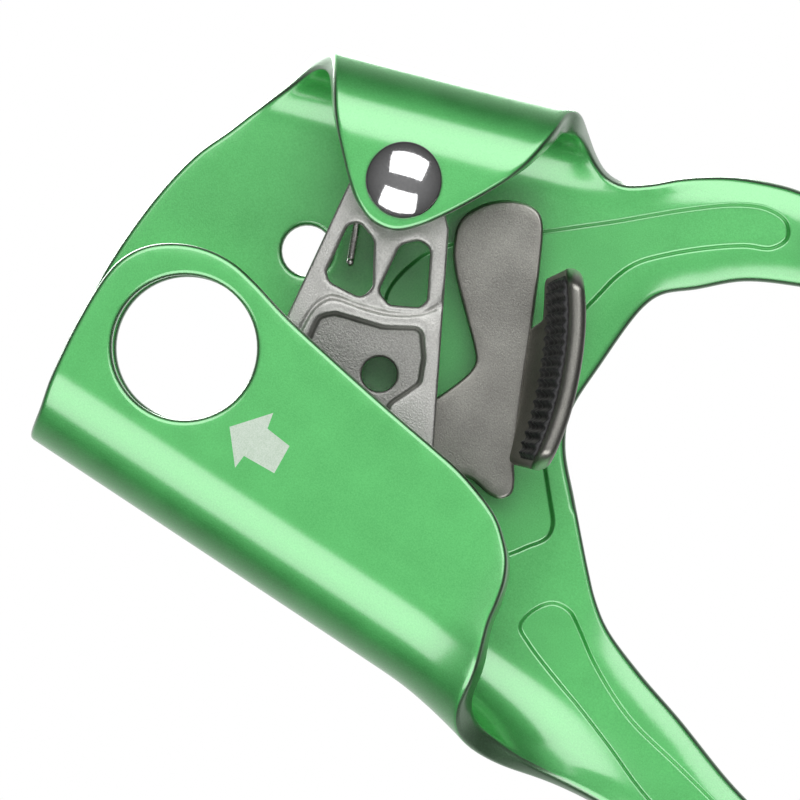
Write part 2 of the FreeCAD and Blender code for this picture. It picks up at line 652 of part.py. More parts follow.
def build_grip(frame):
    outline = SHELL_INNER + SHELL_OUTER
    parts = []
    for side, label in ((-1, "grip_front_shell"), (1, "grip_rear_shell")):
        if side < 0:
            back = "dims.fold_radius - dims.sheet_thick"
            outer_level = PLATE_FRONT - dim("shell_depth")
        else:
            back = "dims.fold_radius + dims.shell_depth"
            outer_level = PLATE_BACK + dim("shell_depth")
        body = slab(label + "_body", outline, back, "dims.shell_depth")
        doc.recompute()
        blank = body.Tip
        rim = ["Edge%d" % (n + 1) for n, edge in enumerate(blank.Shape.Edges)
               if all(abs(v.Point.y - outer_level) < 1e-4 for v in edge.Vertexes)]
        rounding = body.newObject("PartDesign::Fillet", label + "_rim")
        rounding.Base = (blank, rim)
        rounding.setExpression("Radius", "dims.shell_round")
        holes = []
        for number, (x, z) in enumerate(SCREWS):
            if side < 0:
                holes.append(rod("%s_hole_%d" % (label, number), x, z, "dims.screw_radius",
                                 "-15", "15"))
                holes.append(rod("%s_sink_%d" % (label, number), x, z, "dims.screw_head_radius",
                                 "-15", "dims.fold_radius - dims.sheet_thick - dims.shell_depth"
                                        " + dims.screw_head_height"))
            else:
                holes.append(rod("%s_hole_%d" % (label, number), x, z, "dims.screw_radius",
                                 "5", SCREW_TIP))
        tools = combine("Part::MultiFuse", label + "_holes", *holes)
        parts.append(named(combine("Part::Cut", label + "_cut", body, tools), label))
    reach = "dims.fold_radius + dims.insert_depth"
    thick = "dims.sheet_thick + 2 * dims.insert_depth"
    finger = GRIP_INNER + SHELL_INNER[::-1]
    palm = GRIP_OUTER + SHELL_OUTER[::-1]
    # The finger side has a slot along its edge for the frame's own edge.
    band = slab("finger_insert_body", finger, reach, thick)
    parts.append(named(combine("Part::Cut", "finger_insert_cut", band, frame), "finger_insert"))
    parts.append(named(slab("palm_insert_body", palm, reach, thick), "palm_insert"))
    return parts


def build_screws():
    """Three equal screws, one node of separate solids."""
    face = "dims.fold_radius - dims.sheet_thick - dims.shell_depth"
    solids = []
    for number, (x, z) in enumerate(SCREWS):
        shank = rod("screw_shank_%d" % number, x, z, "dims.screw_radius",
                    "%s + dims.screw_head_height" % face, SCREW_TIP)
        head = rod("screw_head_%d" % number, x, z, "dims.screw_head_radius",
                   "%s + dims.screw_sink" % face, "%s + dims.screw_head_height" % face)
        solids.append(combine("Part::MultiFuse", "screw_%d" % number, shank, head))
    group = doc.addObject("Part::Compound", "screw_group")
    group.Links = solids
    return named(group, "grip_screws")


# ---------------------------------------------------------------- build, check and write

frame = build_frame()
nodes = [frame, build_axle()] + build_axle_rings() + [build_cam(), build_cam_spring()]
nodes += build_catch() + build_catch_pin() + build_grip(frame) + [build_screws()]
doc.recompute()

for item in doc.Objects:
    bad = [state for state in item.State if state in ("Invalid", "Error")]
    if bad:
        raise RuntimeError("%s is %s" % (item.Name, bad))
for node in nodes:
    if node.Shape.isNull() or not node.Shape.isValid():
        raise RuntimeError("%s has no valid shape" % node.Label)
    node.Shape.exportStep("parts/%s.step" % node.Label)
    box = node.Shape.BoundBox
    print("%-18s solids %d  volume %9.1f  x %6.1f %6.1f  y %6.1f %6.1f  z %7.1f %6.1f" % (
        node.Label, len(node.Shape.Solids), node.Shape.Volume,
        box.XMin, box.XMax, box.YMin, box.YMax, box.ZMin, box.ZMax))
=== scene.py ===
import json
import math

import bpy
import bmesh
import numpy as np
from mathutils import Matrix, Vector
from mathutils.geometry import delaunay_2d_cdt


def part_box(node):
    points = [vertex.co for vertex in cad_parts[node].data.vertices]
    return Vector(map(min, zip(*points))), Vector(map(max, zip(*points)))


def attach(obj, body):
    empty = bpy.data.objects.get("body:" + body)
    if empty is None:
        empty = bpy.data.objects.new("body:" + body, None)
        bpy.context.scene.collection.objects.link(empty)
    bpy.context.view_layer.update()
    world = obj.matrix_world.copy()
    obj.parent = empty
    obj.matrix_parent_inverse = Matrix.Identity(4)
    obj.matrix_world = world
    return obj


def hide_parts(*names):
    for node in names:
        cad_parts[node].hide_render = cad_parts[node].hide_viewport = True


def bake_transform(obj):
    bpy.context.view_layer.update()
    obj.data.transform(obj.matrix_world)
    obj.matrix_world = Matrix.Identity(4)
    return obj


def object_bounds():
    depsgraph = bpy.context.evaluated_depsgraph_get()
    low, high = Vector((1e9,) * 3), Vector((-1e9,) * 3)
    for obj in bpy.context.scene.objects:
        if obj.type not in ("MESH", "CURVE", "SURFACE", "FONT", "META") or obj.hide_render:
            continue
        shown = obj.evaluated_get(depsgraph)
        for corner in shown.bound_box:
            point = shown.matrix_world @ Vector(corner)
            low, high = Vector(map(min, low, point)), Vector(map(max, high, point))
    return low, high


# Handled rope ascender. Outlines are in millimetres in the part's own frame:
# X from the rope channel to the grip, Z up the rope, -Y is the front.
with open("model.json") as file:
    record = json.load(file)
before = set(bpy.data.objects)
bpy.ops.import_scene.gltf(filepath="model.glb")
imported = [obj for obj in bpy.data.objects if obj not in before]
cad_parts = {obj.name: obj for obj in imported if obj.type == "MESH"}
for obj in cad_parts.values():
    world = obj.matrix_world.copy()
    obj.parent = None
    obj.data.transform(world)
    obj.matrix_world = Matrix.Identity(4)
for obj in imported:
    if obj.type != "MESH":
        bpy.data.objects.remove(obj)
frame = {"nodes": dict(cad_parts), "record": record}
cad_low, cad_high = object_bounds()
MM = 0.001
TO_MM = 1000


def centre_mm(node):
    """Middle of a CAD node's box, in millimetres."""
    low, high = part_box(node)
    return (low + high) / 2 * TO_MM


AXLE = centre_mm("cam_axle")
PIN = centre_mm("catch_pin")
PLATE_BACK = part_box("frame")[1].y * TO_MM
SHEET = 3.2  # its thickness
HALF = SHEET / 2
MID = PLATE_BACK - HALF  # level of the sheet's middle, and the middle radius of its folds
FLAP_FACE = -PLATE_BACK

# ---- numbers and curves


def ease(low, high, value):
    """Smooth 0 to 1 step between low and high."""
    t = np.clip((np.asarray(value, float) - low) / (high - low), 0, 1)
    return t * t * (3 - 2 * t)


def wave_of(turns):
    """0 to 1 and back for each turn."""
    return 0.5 - 0.5 * np.cos(math.tau * turns)


def mix(a, b, ta, tb, t):
    """Value at t on the line from a at ta to b at tb."""
    return (tb - t) / (tb - ta) * a + (t - ta) / (tb - ta) * b


def spline(points, step, closed=True):
    """Evenly sampled smooth curve through points (centripetal Catmull-Rom)."""
    pts = np.asarray(points, float)
    count = len(pts)
    spans = count if closed else count - 1
    out = []
    for i in range(spans):
        if closed:
            p = [pts[(i + j - 1) % count] for j in range(4)]
        else:
            before = pts[i - 1] if i > 0 else 2 * pts[0] - pts[1]
            after = pts[i + 2] if i + 2 < count else 2 * pts[-1] - pts[-2]
            p = [before, pts[i], pts[i + 1], after]
        knots = [0.0]
        for a, b in zip(p, p[1:]):
            knots.append(knots[-1] + max(np.linalg.norm(b - a), 1e-6) ** 0.5)
        t0, t1, t2, t3 = knots
        number = max(2, math.ceil(np.linalg.norm(p[2] - p[1]) / step))
        for t in np.linspace(t1, t2, number, endpoint=False):
            a1 = mix(p[0], p[1], t0, t1, t)
            a2 = mix(p[1], p[2], t1, t2, t)
            a3 = mix(p[2], p[3], t2, t3, t)
            out.append(mix(mix(a1, a2, t0, t2, t), mix(a2, a3, t1, t3, t), t1, t2, t))
    if not closed:
        out.append(pts[-1])
    return np.array(out)


def rounded(points, step):
    """Closed outline of straight runs and arcs from (x, z, corner radius) points."""
    pts = [np.array(p[:2], float) for p in points]
    out = []
    for i, point in enumerate(points):
        here = pts[i]
        to_last = pts[i - 1] - here
        to_next = pts[(i + 1) % len(pts)] - here
        len_last = np.linalg.norm(to_last)
        len_next = np.linalg.norm(to_next)
        u, v = to_last / len_last, to_next / len_next
        half = math.acos(max(-1, min(1, float(u @ v)))) / 2
        radius = max(point[2], 0.05)
        reach = radius / math.tan(half)
        limit = 0.49 * min(len_last, len_next)
        if reach > limit:
            reach, radius = limit, limit * math.tan(half)
        centre = here + (u + v) / np.linalg.norm(u + v) * radius / math.sin(half)
        start = here + u * reach - centre
        sweep = math.pi - 2 * half
        side = 1 if start[0] * v[1] - start[1] * v[0] > 0 else -1
        number = max(3, math.ceil(sweep / 0.22), math.ceil(sweep * radius / step))
        for k in range(number + 1):
            a = side * sweep * k / number
            out.append(centre + np.array([start[0] * math.cos(a) - start[1] * math.sin(a),
                                          start[0] * math.sin(a) + start[1] * math.cos(a)]))
    return fill_gaps(np.array(out), step)


def fill_gaps(points, step, closed=True):
    """Adds points so that no side of a polyline is much longer than step."""
    out = []
    for a, b in zip(points, np.roll(points, -1, axis=0) if closed else points[1:]):
        number = max(1, int(round(np.linalg.norm(b - a) / step)))
        out += [a + (b - a) * k / number for k in range(number)]
    return np.array(out if closed else out + [points[-1]])


def angles(count):
    """Evenly spaced angles of a whole turn."""
    return np.arange(count) * math.tau / count


def circle(x, z, radius, step):
    """Closed loop of points on a circle."""
    a = angles(max(24, int(math.tau * radius / step)))
    return np.stack([x + radius * np.cos(a), z + radius * np.sin(a)], axis=1)


def area(loop):
    """Area in a closed loop, positive where its inside is on its left."""
    ahead = np.roll(loop, -1, axis=0)
    return 0.5 * float(np.sum(loop[:, 0] * ahead[:, 1] - ahead[:, 0] * loop[:, 1]))


def turned(loop, left):
    """The loop, with its inside on its left or on its right."""
    return loop if (area(loop) > 0) == left else loop[::-1].copy()


def distance(points, loop, closed=True):
    """Shortest distance from each point to a polyline."""
    a = loop if closed else loop[:-1]
    b = np.roll(loop, -1, axis=0) if closed else loop[1:]
    d = b - a
    dd = np.maximum((d * d).sum(1), 1e-12)
    best = np.full(len(points), 1e9)
    for start in range(0, len(points), 2000):
        p = points[start:start + 2000]
        w = p[:, None, :] - a[None]
        t = np.clip((w * d[None]).sum(2) / dd[None], 0, 1)
        gap = w - t[..., None] * d[None]
        best[start:start + 2000] = np.sqrt((gap * gap).sum(2).min(1))
    return best


def inside(points, loop):
    """Even-odd test of points against a closed loop."""
    a, b = loop, np.roll(loop, -1, axis=0)
    result = np.zeros(len(points), bool)
    for start in range(0, len(points), 4000):
        p = points[start:start + 4000]
        x, z = p[:, 0][:, None], p[:, 1][:, None]
        crosses = (a[None, :, 1] > z) != (b[None, :, 1] > z)
        rise = np.where(np.abs(b[:, 1] - a[:, 1]) < 1e-12, 1e-12, b[:, 1] - a[:, 1])
        at = a[None, :, 0] + (z - a[None, :, 1]) * (b[:, 0] - a[:, 0])[None] / rise[None]
        result[start:start + 4000] = (crosses & (x < at)).sum(1) % 2 == 1
    return result


def between(points, loops):
    """Whether each point is inside the first loop and outside the others."""
    keep = inside(points, loops[0])
    for loop in loops[1:]:
        keep &= ~inside(points, loop)
    return keep


def depth_in(points, loop):
    """Signed distance to a closed loop, positive inside."""
    d = distance(points, loop)
    return np.where(inside(points, loop), d, -d)


def unit(rows):
    """Each row, at length 1."""
    return rows / np.linalg.norm(rows, axis=1)[:, None]


def left_normals(loop):
    """Unit normal to the left of the way round, at each point of a closed loop."""
    ahead = np.roll(loop, -1, axis=0) - loop
    back = loop - np.roll(loop, 1, axis=0)
    way = unit(unit(ahead) + unit(back))
    return np.stack([-way[:, 1], way[:, 0]], axis=1)


def offset(loop, gap):
    """The loop, moved inwards by a gap."""
    loop = turned(loop, True)
    return loop + left_normals(loop) * gap


# ---- meshes


def finish_mesh(name, skin, materials, body, node):
    """A smooth, outward-facing mesh in a CAD node's place, from (verts, faces) in millimetres
    and marks if it has several materials."""
    verts, faces, *marks = skin
    mesh = bpy.data.meshes.new(name)
    mesh.from_pydata([tuple(v) for v in np.asarray(verts) * MM], [], faces)
    for finish in materials:
        mesh.materials.append(finish)
    if marks:
        mesh.polygons.foreach_set("material_index", marks[0])
    bm = bmesh.new()
    bm.from_mesh(mesh)
    bmesh.ops.remove_doubles(bm, verts=bm.verts, dist=1e-7)
    bmesh.ops.recalc_face_normals(bm, faces=bm.faces)
    bm.to_mesh(mesh)
    bm.free()
    mesh.polygons.foreach_set("use_smooth", [True] * len(mesh.polygons))
    mesh.update()
    piece = bpy.data.objects.new(name, mesh)
    bpy.context.scene.collection.objects.link(piece)
    if body is not None:
        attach(piece, body)
    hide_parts(node)
    return piece


CLEAR = 0.3  # least distance from a sheet's inner points to its edges
RINGS = 5  # steps of a rounded edge
REFLECTION_RINGS = 3  # those of them, next to the wall, that get the painted greyish reflection
SKIN, ETCH, REFLECTION_MARK = 0, 1, 2  # marks, which choose a face's material; the third paints a greyish reflection on edges


def sheet_mesh(outer, holes, edge, half, place, spacing, extra=None, lift=None):
    """Closed skin of a sheet with rounded edges, as (verts, faces, marks).

    outer and holes are flat loops, edge gives each boundary point's edge radius, half is half
    the thickness, place bends flat points and heights into space (front is positive height),
    spacing and extra give the points between the loops, and lift raises the front.
    """
    loops = [turned(outer, True)] + [turned(hole, False) for hole in holes]
    flat, depth, height = [], [], []
    ring_ids = []
    count = 0
    for loop in loops:
        inward = left_normals(loop)
        radius = edge(loop)
        rows = []
        for k in range(RINGS + 1):
            a = math.pi / 2 * k / RINGS
            d = radius * (1 - math.cos(a))
            flat.append(loop + inward * d[:, None])
            depth.append(d)
            height.append(half - radius + radius * math.sin(a))
            rows.append(np.arange(count, count + len(loop)))
            count += len(loop)
        ring_ids.append(rows)
    grid = spacing(outer.min(0), outer.max(0))
    if extra is not None:
        grid = np.concatenate([grid, extra])
    inner = [flat[i * (RINGS + 1) + RINGS] for i in range(len(loops))]
    grid = grid[between(grid, inner)]
    grid = grid[np.min([distance(grid, loop) for loop in inner], axis=0) > CLEAR]
    to_edge = np.min([distance(grid, loop) for loop in loops], axis=0)
    points = [Vector(p) for loop in inner for p in loop] + [Vector(p) for p in grid]
    edges = []
    at = 0
    for loop in inner:
        edges += [(at + i, at + (i + 1) % len(loop)) for i in range(len(loop))]
        at += len(loop)
    made = delaunay_2d_cdt(points, edges, [], 0, 1e-7)
    source = [o[0] if o else -1 for o in made[3]]
    ids = np.concatenate([rows[RINGS] for rows in ring_ids] +
                         [np.arange(count, count + len(grid))])
    flat = np.concatenate(flat + [grid])
    depth = np.concatenate(depth + [to_edge])
    height = np.concatenate(height + [np.full(len(grid), half)])
    tris = np.array([[source[i] for i in f] for f in made[2] if all(source[i] >= 0 for i in f)])
    middle = np.array([np.array([points[i] for i in f], float).mean(0) for f in tris])
    tris = ids[tris[between(middle, inner)]]
    total = len(flat)
    front = height + (lift(flat, depth) if lift else 0)
    verts = np.concatenate([place(flat, front), place(flat, -height)])
    faces = [tuple(int(i) for i in t) for t in tris]
    faces += [tuple(int(i) + total for i in t[::-1]) for t in tris]
    marks = [SKIN] * len(faces)
    # The outer rings of each rounded edge, and its wall, get the painted greyish reflection.
    for rows in ring_ids:
        for k in range(RINGS):
            for quad in zip(rows[k], np.roll(rows[k], -1), np.roll(rows[k + 1], -1), rows[k + 1]):
                faces.append(tuple(int(v) for v in quad))
                faces.append(tuple(int(v) + total for v in quad[::-1]))
                marks += [REFLECTION_MARK if k < REFLECTION_RINGS else SKIN] * 2
        for i, j in zip(rows[0].tolist(), np.roll(rows[0], -1).tolist()):
            faces.append((j, i, i + total, j + total))
            marks.append(REFLECTION_MARK)
    return verts, faces, marks


def upright(level):
    """Places flat (x, z) points and heights in front of a level along Y."""
    def place(flat, height):
        return np.stack([flat[:, 0], level - height, flat[:, 1]], axis=1)
    return place


def even_grid(step):
    """Fills a box with points in staggered rows."""
    def spacing(low, high):
        xs = np.arange(low[0], high[0], step)
        zs = np.arange(low[1], high[1], step)
        x, z = np.meshgrid(xs, zs)
        x = x + (np.arange(len(zs)) % 2)[:, None] * step / 2
        return np.stack([x.ravel(), z.ravel()], axis=1)
    return spacing


def fixed(radius):
    """The same edge radius all round."""
    return lambda loop: np.full(len(loop), radius)


def ring_quads(rings, n):
    """Faces between rings of n points each."""
    return [(r * n + i, r * n + (i + 1) % n, (r + 1) * n + (i + 1) % n, (r + 1) * n + i)
            for r in range(rings - 1) for i in range(n)]


def tube_grid(rows):
    """Skin through equal closed rings of points, with its ends filled in, as (verts, faces)."""
    verts = np.concatenate(rows)
    n = len(rows[0])
    faces = ring_quads(len(rows), n)
    for r, flip in ((0, True), (len(rows) - 1, False)):
        verts = np.concatenate([verts, rows[r].mean(0)[None]])
        mid = len(verts) - 1
        for i in range(n):
            j = (i + 1) % n
            tri = (r * n + i, r * n + j, mid)
            faces.append(tri[::-1] if flip else tri)
    return verts, faces


def revolve(profile, x, z, steps):
    """Turns (radius, y) points about an axis along Y; both ends lie on the axis."""
    profile = np.asarray(profile, float)
    inner = profile[1:-1]
    a = angles(steps)
    rows = [np.stack([x + r * np.cos(a), np.full(steps, y), z + r * np.sin(a)], axis=1)
            for r, y in inner]
    verts = np.concatenate(rows + [[[x, profile[0][1], z]], [[x, profile[-1][1], z]]])
    faces = ring_quads(len(inner), steps)
    first, last = len(verts) - 2, len(verts) - 1
    top = (len(inner) - 1) * steps
    for i in range(steps):
        j = (i + 1) % steps
        faces.append((j, i, first))
        faces.append((top + i, top + j, last))
    return verts, faces


WIRE_END = (0.3, 0.7, 0.95)  # shares of the radius in a wire's domed end


def wire(path, radius, sides=16):
    """Round wire along a smooth path of points, with domed ends."""
    way = unit(np.gradient(path, axis=0))
    side = np.cross(way[0], [0.3, 0.2, 1.0])
    rows = []
    a = angles(sides)
    for i, (p, t) in enumerate(zip(path, way)):
        side = side - (side @ t) * t
        side /= np.linalg.norm(side)
        up = np.cross(t, side)
        ring = np.cos(a)[:, None] * side + np.sin(a)[:, None] * up
        if i == 0:
            for k in WIRE_END:
                rows.append(p - t * radius * math.sqrt(1 - k * k) + ring * radius * k)
        rows.append(p + ring * radius)
        if i == len(path) - 1:
            for k in reversed(WIRE_END):
                rows.append(p + t * radius * math.sqrt(1 - k * k) + ring * radius * k)
    return tube_grid(rows)


def merge(*parts):
    """Joins (verts, faces) pairs into one."""
    verts, faces, at = [], [], 0
    for v, f in parts:
        verts.append(np.asarray(v))
        faces += [tuple(i + at for i in face) for face in f]
        at += len(v)
    return np.concatenate(verts), faces

# ---- materials


def add(tree, kind, **values):
    """Adds a node. Capitalised values are its inputs, with _ for a space; others its settings."""
    node = tree.nodes.new("ShaderNode" + kind)
    for name, value in values.items():
        if name[0].isupper():
            node.inputs[name.replace("_", " ")].default_value = value
        else:
            setattr(node, name, value)
    return node


def join(source, output, target, entry):
    """Links one node's output to another's input."""
    source.id_data.links.new(source.outputs[output], target.inputs[entry])


def add_ramp(tree, *stops):
    """Adds a colour ramp with two or more (position, colour) stops."""
    node = add(tree, "ValToRGB")
    elements = node.color_ramp.elements
    for _ in stops[2:]:
        elements.new(0.5)
    for element, (position, colour) in zip(elements, stops):
        element.position = position
        element.color = (*colour, 1)
    return node


def material(name, dark, light, metallic, roughness, grain, bump, speckle, wear=0.0,
             coat=0.0, streaks=0.0):
    """Procedural finish: colour, roughness and relief all vary with fine grain and soft mottling.

    The colour runs from dark to light, grain is the fine noise's scale, bump the relief's
    strength, speckle the fine grain's share of the colour, and wear and streaks are the
    strength of rubbed patches and of drawn lines.
    """
    made = bpy.data.materials.new(name)
    made.use_nodes = True
    tree = made.node_tree
    link = tree.links.new
    shader = tree.nodes["Principled BSDF"]
    shader.inputs["Metallic"].default_value = metallic
    if coat:
        # The coat gives the white highlights over the dyed metal.
        shader.inputs["Coat Weight"].default_value = coat
        shader.inputs["Coat Roughness"].default_value = 0.18
        shader.inputs["Coat IOR"].default_value = 2.3
    where = add(tree, "TexCoord").outputs["Object"]

    def noise(scale, detail, stretch=None):
        node = add(tree, "TexNoise", Scale=scale, Detail=detail)
        source = where
        if stretch is not None:
            mapping = add(tree, "Mapping", Scale=stretch)
            link(source, mapping.inputs["Vector"])
            source = mapping.outputs["Vector"]
        link(source, node.inputs["Vector"])
        return node.outputs["Fac"]

    def blend(a, b, share):
        node = add(tree, "Mix", Factor=share)
        link(a, node.inputs["A"])
        link(b, node.inputs["B"])
        return node.outputs["Result"]

    fine = noise(grain, 3.0)
    broad = noise(grain / 30, 4.0)
    ramp = add_ramp(tree, (0.34, dark), (0.66, light))
    link(blend(broad, fine, speckle), ramp.inputs["Fac"])
    colour = ramp.outputs["Color"]
    if wear:
        rubbed = add(tree, "MapRange", From_Min=0.60, From_Max=0.78, To_Max=wear)
        link(noise(grain / 12, 6.0, (1.0, 1.0, 0.25)), rubbed.inputs["Value"])
        worn = add(tree, "Mix", data_type="RGBA")
        join(rubbed, "Result", worn, 0)
        link(colour, worn.inputs[6])
        worn.inputs[7].default_value = (*[min(1.0, c * 1.5 + 0.03) for c in light], 1)
        colour = worn.outputs[2]
    link(colour, shader.inputs["Base Color"])
    rough = add(tree, "MapRange", From_Min=0.3, From_Max=0.7,
                To_Min=max(0.02, roughness - 0.05), To_Max=roughness + 0.07)
    link(blend(broad, fine, 0.4), rough.inputs["Value"])
    join(rough, "Result", shader, "Roughness")
    height = fine
    if streaks:
        height = blend(fine, noise(grain / 3, 2.0, (0.06, 0.06, 1.6)), streaks)
    relief = add(tree, "Bump", Strength=bump, Distance=0.0001)
    link(height, relief.inputs["Height"])
    join(relief, "Normal", shader, "Normal")
    return made


GREEN = material("green_anodised", (0.092, 0.53, 0.132), (0.138, 0.67, 0.192), 1.0, 0.53, 5200,
                 0.25, 0.6, wear=0.08, coat=1.0)
# Greyer, duller green for the sheet's edges: painted reflection of the grey surroundings at grazing
# angles; the stronger rubbed patches are wear.
EDGE_PAINTED_REFLECTION = material("green_edge_painted_reflection", (0.130, 0.31, 0.140), (0.20, 0.41, 0.215), 1.0, 0.36, 5200,
                0.3, 0.6, wear=0.2, coat=1.0)
ETCHED = material("etched_metal", (0.48, 0.60, 0.48), (0.66, 0.74, 0.66), 0.5, 0.62, 6500, 0.5, 0.7)
CAST = material("blasted_cast_steel", (0.44, 0.44, 0.42), (0.60, 0.60, 0.575), 1.0, 0.44, 4200, 0.6,
                0.7, wear=0.12)
# Darker steel for the cam's pocket floor: painted shade in the recess.
POCKET_PAINTED_SHADE = material("cast_steel_pocket_painted_shade", (0.27, 0.27, 0.255), (0.39, 0.39, 0.37), 1.0, 0.46, 4200, 0.7,
                  0.7, wear=0.1)
TUMBLED = material("tumbled_stainless", (0.30, 0.295, 0.27), (0.42, 0.415, 0.38), 1.0, 0.33, 4500,
                   0.35, 0.5, wear=0.15, streaks=0.3)
POLISHED = material("polished_steel", (0.78, 0.78, 0.79), (0.88, 0.88, 0.89), 1.0, 0.10, 2500, 0.04,
                    0.4)
WIRE = material("spring_wire", (0.45, 0.44, 0.43), (0.66, 0.65, 0.64), 1.0, 0.24, 3000, 0.12, 0.5)
RUBBER = material("ribbed_black_rubber", (0.012, 0.012, 0.013), (0.035, 0.035, 0.037), 0.0, 0.50, 3800,
                  0.5, 0.6)
SHELL = material("grip_plastic", (0.016, 0.017, 0.018), (0.034, 0.035, 0.037), 0.0, 0.46, 2600, 0.75,
                 0.5)
SOFT = material("soft_grip", (0.055, 0.058, 0.061), (0.10, 0.104, 0.108), 0.0, 0.68, 3600, 0.7, 0.5)

bush_finishes = frame["nodes"]["cam_bush"].data.materials
bush_finishes.clear()
bush_finishes.append(WIRE)

# ---- frame

FOLD_AT = np.array([42.5, 13.8])  # a point on the cam fold's axis
FOLD_LEAN = math.radians(18.9)
ACROSS = np.array([math.cos(FOLD_LEAN), math.sin(FOLD_LEAN)])
DOWN = np.array([math.sin(FOLD_LEAN), -math.cos(FOLD_LEAN)])

KNOT_Z = np.arange(-90, -20, 0.5)
FLARE = np.interp(KNOT_Z, [-90, -80, -72, -65, -59, -54.5, -51, -48, -44, -40, -36, -30],
                  [0, 0, 0.10, 0.28, 0.48, 0.66, 0.76, 0.81, 0.885, 0.945, 1, 1])
KERNEL = np.exp(-0.5 * (np.arange(-12, 13) / 4.5) ** 2)
FLARE = np.convolve(np.pad(FLARE, 12, mode="edge"), KERNEL / KERNEL.sum(), mode="valid")


def channel_bend(z):
    """Curvature of the channel's fold at a height: it opens out below the flap."""
    return np.interp(z, KNOT_Z, FLARE) / MID


def fold_bend(v):
    """Curvature of the cam's fold along its own axis: it flattens out into the arm."""
    return (1 - ease(33.0, 50.0, v)) / MID


def rolled(q, bend):
    """Sheet bent from flat beyond q = 0: (distance across, distance forwards)."""
    bend = np.maximum(bend, 1e-5)
    angle = np.clip(q * bend, 0, math.pi)
    rest = q - angle / bend
    return (np.sin(angle) / bend + rest * np.cos(angle),
            (1 - np.cos(angle)) / bend + rest * np.sin(angle))


def bent_sheet(flat):
    """Middle of the bent sheet, for flat points."""
    x, z = flat[:, 0].copy(), flat[:, 1].copy()
    y = np.full(len(x), MID)
    left = x < 0
    across, forwards = rolled(-x, channel_bend(z))
    x[left], y[left] = -across[left], MID - forwards[left]
    q = (flat - FOLD_AT) @ ACROSS
    v = (flat - FOLD_AT) @ DOWN
    right = (q > 0) & (flat[:, 0] > 0)
    across, forwards = rolled(q, fold_bend(v))
    point = FOLD_AT + v[:, None] * DOWN + across[:, None] * ACROSS
    x[right], z[right], y[right] = point[right, 0], point[right, 1], MID - forwards[right]
    return np.stack([x, y, z], axis=1)


def place_sheet(flat, height):
    """Puts points a height in front of the bent sheet's middle, square to it."""
    tiny = 0.02
    du = bent_sheet(flat + [tiny, 0]) - bent_sheet(flat - [tiny, 0])
    dv = bent_sheet(flat + [0, tiny]) - bent_sheet(flat - [0, tiny])
    return bent_sheet(flat) + unit(np.cross(du, dv)) * np.asarray(height)[:, None]


def flat_point(kind, x, z):
    """Flat-pattern point of a point seen from the front, on one of the sheet's five stretches."""
    if kind == "plate":
        return x, z
    if kind.startswith("channel"):
        bend = float(channel_bend(z))
        outer = 1 / bend + HALF
        angle = math.asin(max(-1, min(1, -x / outer)))
        if kind == "channel rear":
            return -angle / bend, z
        return (-(math.pi - angle) / bend, z) if x < 0 else (-math.pi / bend - x, z)
    p = np.array([x, z]) - FOLD_AT
    q, v = float(p @ ACROSS), float(p @ DOWN)
    bend = max(float(fold_bend(v)), 1e-4)
    if kind == "fold rear":
        q = math.asin(min(1, max(-1, q * bend))) / bend
    elif q > 0:
        q = (math.pi - math.asin(min(1, q / (1 / bend + HALF)))) / bend
    else:
        q = math.pi / bend - q
    point = FOLD_AT + v * DOWN + q * ACROSS
    return point[0], point[1]


OUTLINE = [
    ("plate", [(0, 24.7), (6.8, 25.7), (13.5, 26.4), (24, 26.1), (31.6, 24.8), (36.9, 22.8)]),
    ("fold rear", [(42.5, 21), (47, 19.6), (50.4, 18.5)]),
    ("fold front", [(52.4, 17.1), (51.4, 16.1), (49.2, 14.6), (46.7, 12.9), (44.4, 11),
        (42.5, 9.1), (39.9, 6.3), (37.8, 3.5), (36.8, 0.7), (37.3, -2.4), (39.6, -4.9),
        (42.6, -6.9), (47, -9.3), (51, -11.2), (54.7, -12.2), (59.9, -12.8), (62.9, -13.1)]),
    ("fold rear", [(62.7, -14.6), (61.6, -16.8), (60.1, -19.2), (59.2, -21.5), (59.4, -23.9),
        (61.3, -26.8), (64.1, -29.9)]),
    ("plate", [(67.7, -34.9), (69.7, -38.9), (71.3, -43.6), (72.4, -52), (72.6, -61), (72, -78),
        (68.5, -97), (61.3, -116), (50, -134), (36, -147.4), (19, -157), (2, -160),
        (-10.5, -156.2), (-18.8, -147), (-20.4, -134), (-15.8, -112), (-11.6, -91), (-10.3, -76),
        (-10.3, -67), (-11.1, -61), (-12.3, -57), (-14, -53.6), (-15.9, -50.4), (-17.9, -47.8),
        (-20.4, -45.6), (-23.6, -44.1)]),
    ("channel front", [(-4.1, -42.9), (1.7, -41), (5.2, -40.3), (7.9, -39.5), (10.2, -38.2),
        (12.1, -36.3), (13.9, -33.8), (15.3, -30.1), (16.3, -26.4), (16.9, -22.2), (18, -13.6),
        (19.3, -4.8), (20.5, 2.7), (22, 9), (22.5, 12.5), (22.1, 16.2), (20.6, 19.9),
        (18.1, 23), (15.2, 24.7), (12.1, 25.3), (4.7, 25), (-2.8, 24), (-8, 22.9)]),
    ("channel rear", [(-10.2, 22.4), (-5.5, 23.6)]),
]
HAND = [
    (47.3, -35.1), (38, -34.6), (30.4, -34.8), (26.4, -36.7), (21.2, -41.6), (14.5, -48.2),
    (11.9, -51), (9.6, -54.4), (7.1, -61.2), (5, -68.7), (1.4, -80.3), (-0.5, -92), (-0.2, -106),
    (2.2, -118), (7, -125.5), (14, -129.2), (26, -130.4), (37, -130.6), (41.5, -127.5),
    (46.2, -115), (51.2, -99), (55.6, -83), (58.7, -71), (62.8, -62), (63.2, -56.5),
    (61, -51), (57.4, -44.2), (53.1, -39.6), (50, -36.2),
]
